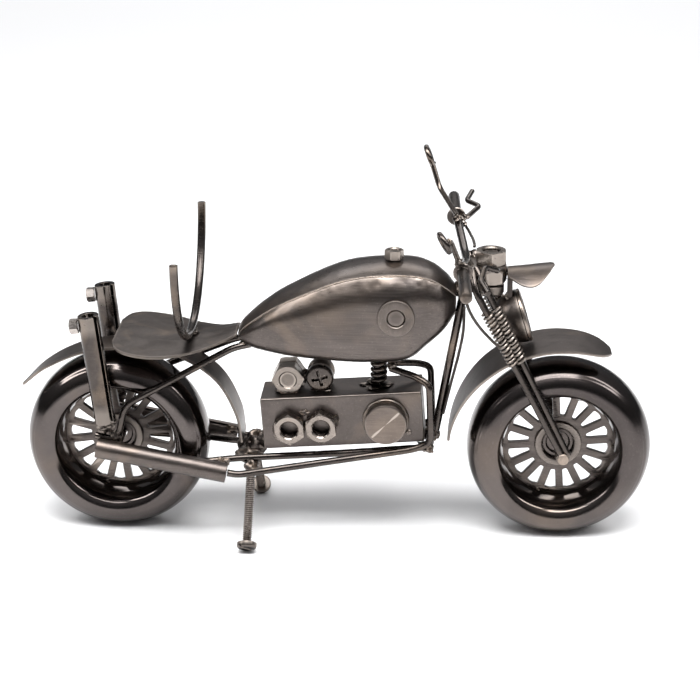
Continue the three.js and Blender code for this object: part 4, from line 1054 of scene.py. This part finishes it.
def slot_cut(x, _y):
    """Straight slot along Y."""
    return 1.5 * min(1, max(0, (1.0 - abs(x)) / 0.3))


for side, s in SIDES:
    pair = Piece()
    for i in range(2):
        one = nut(AF, NUT_H, 5.0, math.pi / 6, pitch=1.5).at(Matrix.Rotation(0.02 * i, 4, "Z"))
        pair.add(one, facing(s, -31.3 + i * (AF + 1.9), s * (ENG_D / 2 + GAP), -1.5))
    pair.place("engine_nuts_" + side, nut_mat, "worn_nickel", "face_nuts_" + side, sharp=26)
    welds = Piece()
    on_face = s * (ENG_D / 2 + 0.5)
    welds.beads((
        (-21.9, on_face, -1.5, (1.9, 1.5, 3.4)), (-31.3, on_face, -11.2, (4.5, 1.2, 1.3)),
        (-12.4, on_face, -11.2, (5, 1.2, 1.2)), (-40.6, on_face, -4, (1.2, 1.2, 3.6)),
        (-2.9, on_face, 1, (1.1, 1.2, 3.2)), (-22, on_face, 6.5, (2.6, 1.2, 1.6))), s, 1, 0.7)
    welds.at(IN_ENGINE).place("engine_nut_welds_" + side, weld_mat)
    slug = Piece().lathe([(11.4, 1.6), (12.3, 1.75), (12.5, 2.1), (12.5, 6.9), (12.25, 7.45), (11.9, 7.7),
                          (11.5, 7.8), (11.0, 7.8), (6, 7.8), (0.2, 7.8)], n=128)
    slug = slug.at(facing(s, 26, s * (ENG_D / 2 + GAP), -1))
    slug.place("engine_slug_" + side, slug_mat, "worn_nickel", "slug_" + side, sharp=26)
    backing = Piece().lathe([(0.3, 0), (13.4, 0), (13.8, 0.4), (13.8, 1.2), (13.4, 1.65), (12.0, 1.7),
                             (0.3, 1.7)], n=112, wobble=lambda a, z: 0.25 * noise.noise(V(math.cos(a) * 2,
            math.sin(a) * 2, z)))
    backing.at(facing(s, 26, s * (ENG_D / 2 + GAP), -1)).place("slug_backing_" + side, weld_mat,
            "worn_nickel", sharp=26)
    rivet = Piece().lathe([(1.7, 0), (1.65, 0.5), (1.3, 0.95), (0.7, 1.15), (0.1, 1.2)], n=32)
    at = shift(175.7, s * (ENG_D / 2), 67.7) @ turn(-90 * s, "X")
    rivet.at(at).place("engine_rivet_" + side, nickel, "worn_nickel")

CYL_Z = ENG_H / 2 + GAP + AF / 2
bolt = Piece()
for s in (-1, 1):
    one = nut(AF, NUT_H, 4.6, 0.0, pitch=1.5)
    bolt.add(one, facing(s, -31, s * 0.6, CYL_Z))
    bolt.add(threaded_rod(4.75, 0, 7.4, 1.5, 0.5, 44), facing(s, -31, s * 0.6, CYL_Z))
bolt.place("cylinder_nuts", screw_mat, "dark_steel", "cylinder_bolt", sharp=26)
screw = Piece()
for s in (-1, 1):
    screw.add(recess(8.2, 5, cross_cut), facing(s, -12, s * 3.6, CYL_Z) @ turn(12, "Z"))
core = Piece().lathe([(4.2, -3.8), (4.6, -3.6), (4.6, 3.6), (4.2, 3.8)], n=48)
screw.add(core, facing(1, -12, 0, CYL_Z))
screw.place("cylinder_cross_screw", screw_mat, "dark_steel", "cylinder_screw", sharp=30)
welds = Piece().beads((
    (-31, -4, 16.9, (7, 3, 1.2)), (-31, 4, 16.9, (7, 3, 1.2)), (-12, -5, 16.9, (6, 2.2, 1.1)),
    (-12, 5, 16.9, (6, 2.2, 1.1)), (-21.6, -3.5, 24, (1.8, 2.4, 2.6)), (-21.6, 3.5, 24, (1.8, 2.4, 2.6))),
    0, 1.7, 0.7)
welds.at(IN_ENGINE).place("cylinder_welds", weld_mat)

coil_x, coil_foot, coil_top = 157.0, 92.4, 108.9
coil = Piece()
wire = helix(V(coil_x, 0, coil_foot + 1.1), V(coil_x, 0, coil_top - 1.1), 4.1, 4.2, per_turn=30)
coil.sweep(wire, 1.15, n=12, ends="round")
coil.add(Piece().lathe([(2.6, coil_foot), (2.9, coil_foot + 1), (2.9, coil_top - 1), (2.6, coil_top)],
                       n=32), shift(coil_x, 0, 0))
coil.place("intake_spring", rod_mat, "dark_steel", "intake_coil")
welds = Piece()
welds.blob((coil_x - 1, 0, coil_foot - 0.2), (7.5, 6.5, 2.1), seed=21, rough=0.8)
welds.blob((coil_x + 0.5, 0, coil_top + 0.4), (6.2, 6, 1.4), seed=23, rough=0.8)
welds.place("intake_welds", weld_mat)


# ------------------------------------------------------------------ frame rods, exhaust, stand
def rod(points, radius, bend, n=20, ends="flat", step=3.0):
    """Round rod along straight runs with rounded corners."""
    path = dense(bent(points, bend, 12), step)
    return Piece().sweep(path, radius, n=n, ends=ends)


tube = rod([V(206.4, 0, 150.5), V(191, 0, 62)], ROD, 1)
tube.place("down_rod", rod_mat, "gunmetal_plate", "down_tube")


def rail_points(s):
    return [V(6, s * RAIL_SIDE, 48.5), V(45, s * RAIL_SIDE, 47), V(71, s * 13.5, 47.5),
            V(136, s * 10.5, 51.2), V(188.5, s * 9, 55.8)]


rail = rod(rail_points(-1) + rail_points(1)[::-1], THIN, 8)
rail.place("rail_hairpin", rod_mat, "dark_steel", "lower_rail")
for side, s in SIDES:
    header = rod([V(164, 4.5 * s, 104), V(180, 12 * s, 101.5), V(187.5, 15.66 * s, 98), V(189, 17.4 * s, 62),
                  V(178.5, 17.4 * s, 57.5), V(75, 30.3 * s, 44.2), V(68.6, 30.3 * s, 45.2)], THIN, 7)
    header.place("header_rod_" + side, rod_mat, "gunmetal_plate", "header_pipe_" + side)

for side, s in SIDES:
    foot = V(STAND_X, s * STAND_Y, 0)
    up = V(0, -s * math.sin(STAND_LEAN), math.cos(STAND_LEAN))
    q = V(0, 0, 1).rotation_difference(up).to_matrix().to_4x4()
    head = recess(6, 3.6, slot_cut, rings=26, n=88).at(turn(180, "X") @ Matrix.Rotation(0.7, 4, "Z"))
    rise = -min((q @ p).z for p in head.v)  # lifts the head's lowest edge to the floor
    foot += up * (rise / up.z)
    leg = threaded_rod(2.75, 0.2, STAND_REACH - rise / up.z, 1.25, 0.5, 36).add(head)
    leg = leg.at(Matrix.Translation(foot) @ q)
    leg.place("stand_screw_" + side, bolt_mat, "gunmetal_plate", "stand_bolt_" + side, sharp=30)

lump = Piece().beads((
    (80, -7, 47.5, (8.5, 5.5, 4.8)), (80, 7, 47.5, (8.5, 5.5, 4.8)), (84, -5, 53, (6.5, 4.5, 5.5)),
    (84, 5, 53, (6.5, 4.5, 5.5)), (81, -13.5, 43.5, (4.6, 4.4, 4.2)), (81, 13.5, 43.5, (4.6, 4.4, 4.2)),
    (79, 0, 46, (7, 7, 4))), 0, 2.3, 0.36, n=16)
lump.place("stand_weld", weld_mat)

lug = Piece().lathe([(5.4, LUG_Z - 5), (7.6, LUG_Z - 5), (8, LUG_Z - 4.6), (8, LUG_Z - 0.4), (7.6, LUG_Z),
                     (5.4, LUG_Z), (5.1, LUG_Z - 0.4), (5.1, LUG_Z - 4.6)], n=72, closed=True)
lug = lug.at(shift(HEAD_X, 0, 0))
arm = bar_stock(12.2, 7, 4.4, 0.7)
lug.add(arm, shift(208.9, 0, LUG_Z - 2.5))
lug.place("head_ring", dark_mat, "gunmetal_plate", "head_lug")
welds = Piece()
welds.blob((203.4, 0, LUG_Z - 3.6), (2.6, 5.5, 4.2), seed=31, rough=0.7)
welds.blob((206.5, 0, LUG_Z - 6.6), (3.6, 3.8, 2.8), seed=33, rough=0.6)
for s in (-1, 1):
    welds.blob((188, s * 15.5, 57.5), (3, 3, 2.4), seed=35 + s, rough=0.6)
    welds.blob((185, s * 10, 57), (4.2, 3.2, 2.6), seed=37 + s, rough=0.7)
    welds.blob((TANK_X + 3, s * 7.6, TANK_Z + 4.6), (3.0, 2.0, 1.8), seed=39 + s, rough=0.5)
    welds.blob((165, s * 4.6, 105.5), (3.2, 2.4, 2.0), seed=41 + s, rough=0.5)
    welds.blob((48, s * RAIL_SIDE * 0.985, 47.4), (4, 2.5, 2.4), seed=43 + s, rough=0.6)
welds.blob((190.5, 0, 60.5), (3.6, 4.5, 3.4), seed=45, rough=0.6)
welds.place("frame_welds", weld_mat)

wire = Piece().sweep(spline([V(207, -4.6, 143.5), V(206.7, -4.6, 128.5), V(204.2, -4.6, 113.5),
                             V(199.6, -4.6, 93.5), V(195.6, -4.6, 75.5)], 60), CABLE, n=12, ends="round")
wire.place("frame_cable", wire_mat, "dark_wire", "frame_wire")


# ------------------------------------------------------------------ steering
def steer_place(piece, name, mat, slot="gunmetal_plate", node=None, sharp=32):
    piece.place(name, mat, slot, node, body="steering", sharp=sharp, steer=True)


outline = [(-15, -12.4), (-6, -12.4), (2, -8.5), (9, -4.7), (9, 4.7), (2, 8.5), (-6, 12.4), (-15, 12.4)]
corners = [V(x, y, 0) for x, y in outline]
edge = rounded(corners, 1.6, 4)
rows = []
for inset, z in ((0.5, 0), (0.12, 0.12), (0, 0.5), (0, 2.5), (0.12, 2.88), (0.5, 3)):
    rows.append([V(HEAD_X + p.x * (1 - inset / 12), p.y * (1 - inset / 12), CLAMP_Z + z) for p in edge])
clamp = Piece().grid(rows, wrap=True, ends="ab")
clamp.add(nut(AF, NUT_H, 4.7, math.radians(12)).at(shift(HEAD_X, 0, CLAMP_Z - NUT_H)))
clamp.add(threaded_rod(4.6, LUG_Z - 7, CLAMP_Z + 9.5, 1.5, 0.5, 44), shift(HEAD_X, 0, 0))
steer_place(clamp, "fork_plate", screw_mat, "gunmetal_plate", "fork_clamp", sharp=26)
top_nut = nut(AF, NUT_H, 4.9, math.radians(28)).at(shift(HEAD_X, 0, CLAMP_Z + 3.3))
steer_place(top_nut, "head_nut_top", screw_mat, "gunmetal_plate", "head_nut", sharp=26)

FRONT_Z = AXLE_Z + 1
steer_place(pin(3, -22.1, 22.1).at(shift(WHEEL_BASE, 0, AXLE_Z)), "front_axle_pin", rod_mat, "dark_steel",
            "front_axle")


def fork_line(s, second):
    """Clamp end, bend and foot of a leg's first rod (0) or of the one behind it (1)."""
    twin = V(5.3, -s * 1.6, 2.6)
    return [V(HEAD_X - 11.5, s * 15.5, CLAMP_Z + 4) + twin * 0.4 * second,
            V(HEAD_X - 10, s * FORK_SIDE, CLAMP_Z - 6) + twin * second,
            V(WHEEL_BASE + 1, s * FORK_SIDE, FRONT_Z) + twin * 0.55 * second]


SPRING_FOOT, SPRING_L = WHEEL_R + 10.2, 38.0
for side, s in SIDES:
    legs = Piece()
    for second in (0, 1):
        legs.add(rod(fork_line(s, second), THIN, 7, n=20))
    steer_place(legs, "fork_rods_" + side, rod_mat, "gunmetal_plate", "fork_leg_" + side)
    stub = Piece().lathe([(2.8, 0), (3.4, 0.6), (3.4, 3.9), (3.1, 4.35), (2.4, 4.5), (0.2, 4.5)], n=48)
    stub = stub.turned_to((0, s, 0), V(WHEEL_BASE + 0.8, s * (FORK_SIDE - THIN + 0.2), FRONT_Z))
    steer_place(stub, "axle_end_" + side, stub_mat)
    springs = Piece()
    for second in (0, 1):
        _, bend_at, foot = fork_line(s, second)
        up = (bend_at - foot).normalized()
        coil = helix(foot + up * (SPRING_FOOT + 0.8), foot + up * (SPRING_FOOT + SPRING_L - 0.8), 2.9, 14.5,
                     per_turn=22, phase=second * 2.1)
        springs.sweep(coil, 0.7, n=8, ends="round")
    steer_place(springs, "fork_coils_" + side, spring_mat, "worn_nickel", "fork_springs_" + side)
    welds = Piece()
    welds.blob((HEAD_X - 10.6, s * 14.6, CLAMP_Z + 1.0), (2.8, 2.6, 3.0), seed=51 + s, rough=0.7)
    welds.blob((HEAD_X - 8, s * 14.2, CLAMP_Z + 1.4), (2.6, 2.4, 2.4), seed=53 + s, rough=0.7)
    _, bend_at, foot = fork_line(s, 0)
    up = (bend_at - foot).normalized()
    low = foot + up * (SPRING_FOOT - 1.2)
    welds.blob((low.x + 1.5, low.y - s * 2, low.z + 0.3), (3.4, 2.4, 2.2), seed=55 + s, rough=0.6)
    steer_place(welds, "fork_welds_" + side, weld_mat)

fender_half = along([(0, 5.5), (0.02, 10.5), (0.06, 16), (0.14, 19.3), (0.3, 20.5), (0.62, 18.45),
                     (0.85, 11.28), (1, 1.2)])


def front_fender_point(u, v):
    a = math.radians(64 + 114 * u)
    r = FRONT_FENDER_R
    return V(WHEEL_BASE + r * math.cos(a), (2 * v - 1) * fender_half(u), AXLE_Z + r * math.sin(a))


fender = sheet(front_fender_point, 110, 30, SHEET, bump=lambda p: 0.12 * noise.noise(p / 12), flip=-1)
steer_place(fender, "fender_leaf_front", sheet_mat, "brushed_sheet", "front_fender", sharp=50)

LAMP = shift(HEAD_X + 19, 0, BAR_Z - 44) @ turn(-17, "Y") @ turn(90, "Y")
shell = smooth_profile([(0.2, -17), (4.5, -16.6), (8, -15.3), (11.2, -12.6), (13.44, -9.35), (15.3, -4.6),
                        (16, 0)], 24)
inner = smooth_profile([(14.5, 0), (13.6, -4.6), (12.16, -8.16), (9.8, -11.4), (6.72, -13.6), (3.4, -14.7),
                        (0.2, -14.96)], 24)
bowl = Piece().lathe(shell + inner, n=96, ends="").at(LAMP)
strap = bar_stock(15.2, 11, 2.6, 0.5).at(shift(233.4, 0, 156.2) @ turn(90, "Y"))
bowl.add(strap)
steer_place(bowl, "lamp_bowl", dark_mat, "dark_steel", "headlight_bowl", sharp=35)
rim = Piece().lathe([(0.2, 0.5), (14.6, 0.45), (15.6, 0.3), (16, 0.6), (16, 1.7), (15.7, 2.2), (15.0, 2.5),
                     (14.1, 2.6), (13.4, 2.1), (13, 1.8), (9, 2.0), (4, 2.15), (0.2, 2.2)], n=112)
steer_place(rim.at(LAMP), "lamp_face", slug_mat, "worn_nickel", "headlight_rim", sharp=30)
peak_half = along([(0, 9), (0.3, 15), (0.6, 15.5), (0.85, 9), (1, 0.8)])


def peak_point(u, v):
    a = 2 * v - 1
    w = peak_half(u)
    return V(HEAD_X + 10 + 27 * u, a * w, BAR_Z - 13.4 - 0.026 * a * a * w * w - 3 * (1 - u))


steer_place(sheet(peak_point, 60, 40, SHEET, bump=lambda p: 0.15 * noise.noise(p / 9)), "lamp_peak",
            sheet_mat, "brushed_sheet", "headlight_peak", sharp=50)

INNER = 54.0
bar_mid_z = CLAMP_Z + 3 + GAP + ROD
handle = rod([V(BAR_X, -INNER + GAP, BAR_Z), V(BAR_X + 0.5, -INNER + 8, BAR_Z),
              V(HEAD_X - 14.5, -8, bar_mid_z), V(HEAD_X - 14.5, 8, bar_mid_z),
              V(BAR_X + 0.5, INNER - 8, BAR_Z), V(BAR_X, INNER - GAP, BAR_Z)], ROD, 9, n=22)
steer_place(handle, "handlebar_rod", rod_mat, "gunmetal_plate", "handlebar")
for side, s in SIDES:
    profile = [(2.4, 0.0), (5.2, 0.0), (5.6, 0.35), (5.6, 1.3), (5.2, 1.6), (3.7, 1.62), (3.5, 1.9)]
    profile += [(3.5, 1.9 + 41.6 * t) for t in (0.25, 0.5, 0.75, 1)]
    profile += [(3.42, 43.9), (3.1, 44.5), (2.5, 44.85), (1.6, 45), (0.2, 45)]
    grip = Piece().lathe(profile, n=64).turned_to((0, s, 0), V(BAR_X, s * INNER, BAR_Z))
    steer_place(grip, "grip_tube_" + side, grip_mat, "worn_nickel", "grip_" + side, sharp=28)


def eyelet(stalk, centre, normal, seed):
    """Bent stalk with a ring on its end."""
    p = rod(stalk, STALK, 4, n=14, ends="round", step=2)
    q = V(0, 0, 1).rotation_difference(normal.normalized())
    axis = q @ V(0, 0, 1)
    rows = []
    for k in range(72):
        a = TAU * k / 72
        radial = q @ V(math.cos(a), math.sin(a), 0)
        middle = centre + q @ V(EYE_R * math.cos(a), EYE_R * math.sin(a), 0)
        around = [TAU * j / 16 for j in range(16)]
        rows.append([middle + (radial * math.cos(b) + axis * math.sin(b)) * STALK for b in around])
    rows.append(rows[0])
    p.grid(rows, wrap=True)
    tip = stalk[-1]
    p.blob(tuple(tip), (2.0, 2.0, 2.0), seed=seed, rough=0.5, n=9)
    return p


left_eye = eyelet([V(BAR_X, INNER - 12, BAR_Z + 4.4), V(HEAD_X - 28.6, INNER + 9.4, BAR_Z + 15.5),
                   V(HEAD_X - 33, INNER + 15, BAR_Z + 28.9)], V(HEAD_X - 34.9, INNER + 15, BAR_Z + 34),
                  V(0.94, 0, 0.35), 61)
steer_place(left_eye, "mirror_eye_left", rod_mat, "gunmetal_plate", "mirror_left")
right_eye = eyelet([V(BAR_X - 3, -INNER, BAR_Z + 7.5), V(HEAD_X - 25.8, -INNER - 7, BAR_Z + 20),
                    V(HEAD_X - 27.5, -INNER - 13, BAR_Z + 21.5)], V(HEAD_X - 29.8, -INNER - 18.4,
        BAR_Z + 22.8), V(0.87, 0.22, 0.45), 63)
steer_place(right_eye, "mirror_eye_right", rod_mat, "gunmetal_plate", "mirror_right")

lever = rod([V(BAR_X + 6.2, INNER - 3, BAR_Z + 0.5), V(HEAD_X - 4, INNER + 10.5, BAR_Z + 3.5),
             V(HEAD_X - 11.5, INNER + 21, BAR_Z + 4), V(HEAD_X - 7.5, INNER + 35, BAR_Z + 6)], STALK, 3,
            n=14, ends="round", step=2)
steer_place(lever, "lever_rod_left", rod_mat, "gunmetal_plate", "lever_left")
lever = rod([V(HEAD_X + 1, -13, CLAMP_Z + 3 + STALK + GAP), V(HEAD_X + 2.5, -30, BAR_Z - 7),
             V(HEAD_X - 5.5, -38, BAR_Z - 2), V(HEAD_X - 8.6, -52, BAR_Z - 6),
             V(HEAD_X - 5, -66, BAR_Z - 8.4)], STALK, 3, n=14, ends="round", step=2)
steer_place(lever, "lever_rod_right", rod_mat, "gunmetal_plate", "lever_right")

cable = Piece().sweep(spline([V(HEAD_X - 19.5, -50, BAR_Z - 7), V(HEAD_X - 17, -47, BAR_Z - 14),
                              V(HEAD_X - 15.6, -43, BAR_Z - 22), V(HEAD_X - 12.5, -37, BAR_Z - 31),
                              V(HEAD_X - 7.5, -32.5, BAR_Z - 40), V(HEAD_X - 1, -30.5, BAR_Z - 48),
                              V(HEAD_X + 5, -29.5, BAR_Z - 54)], 72), CABLE, n=12, ends="round")
steer_place(cable, "brake_cable_right", wire_mat, "dark_wire", "cable_right")
cable = Piece().sweep(spline([V(HEAD_X - 13.5, 49, BAR_Z - 3.5), V(HEAD_X - 11, 42, BAR_Z - 6),
                              V(HEAD_X - 9, 33, BAR_Z - 8), V(HEAD_X - 8.5, 24, BAR_Z - 9),
                              V(HEAD_X - 9, 17, BAR_Z - 7.2)], 60), CABLE, n=12, ends="round")
steer_place(cable, "brake_cable_left", wire_mat, "dark_wire", "cable_left")

welds = Piece().beads(((BAR_X - 2, -INNER - 0.5, BAR_Z + 5.6, (2.6, 2.4, 2.4)),
                       (BAR_X, INNER - 12, BAR_Z + 2.6, (2.6, 2.6, 2.0)),
                       (HEAD_X - 14, 0, CLAMP_Z + 3.3, (3.2, 8, 1.8)),
                       (HEAD_X + 0.8, -12, CLAMP_Z + 3.6, (2.4, 2.8, 1.6)),
                       (HEAD_X - 19, -50.5, BAR_Z - 5.0, (2.0, 2.4, 2.2)),
                       (HEAD_X - 14.5, 49.5, BAR_Z - 3, (2.2, 2.4, 2.0)),
                       (BAR_X + 4.6, INNER - 3, BAR_Z + 0.4, (2.2, 2.4, 2.0)),
                       (233.4, 0, 163.4, (3.0, 5.2, 1.6)), (233.4, 0, 148.4, (3.2, 5.4, 2.2))), 70, 1.3,
                      0.65)
steer_place(welds, "steering_welds", weld_mat)
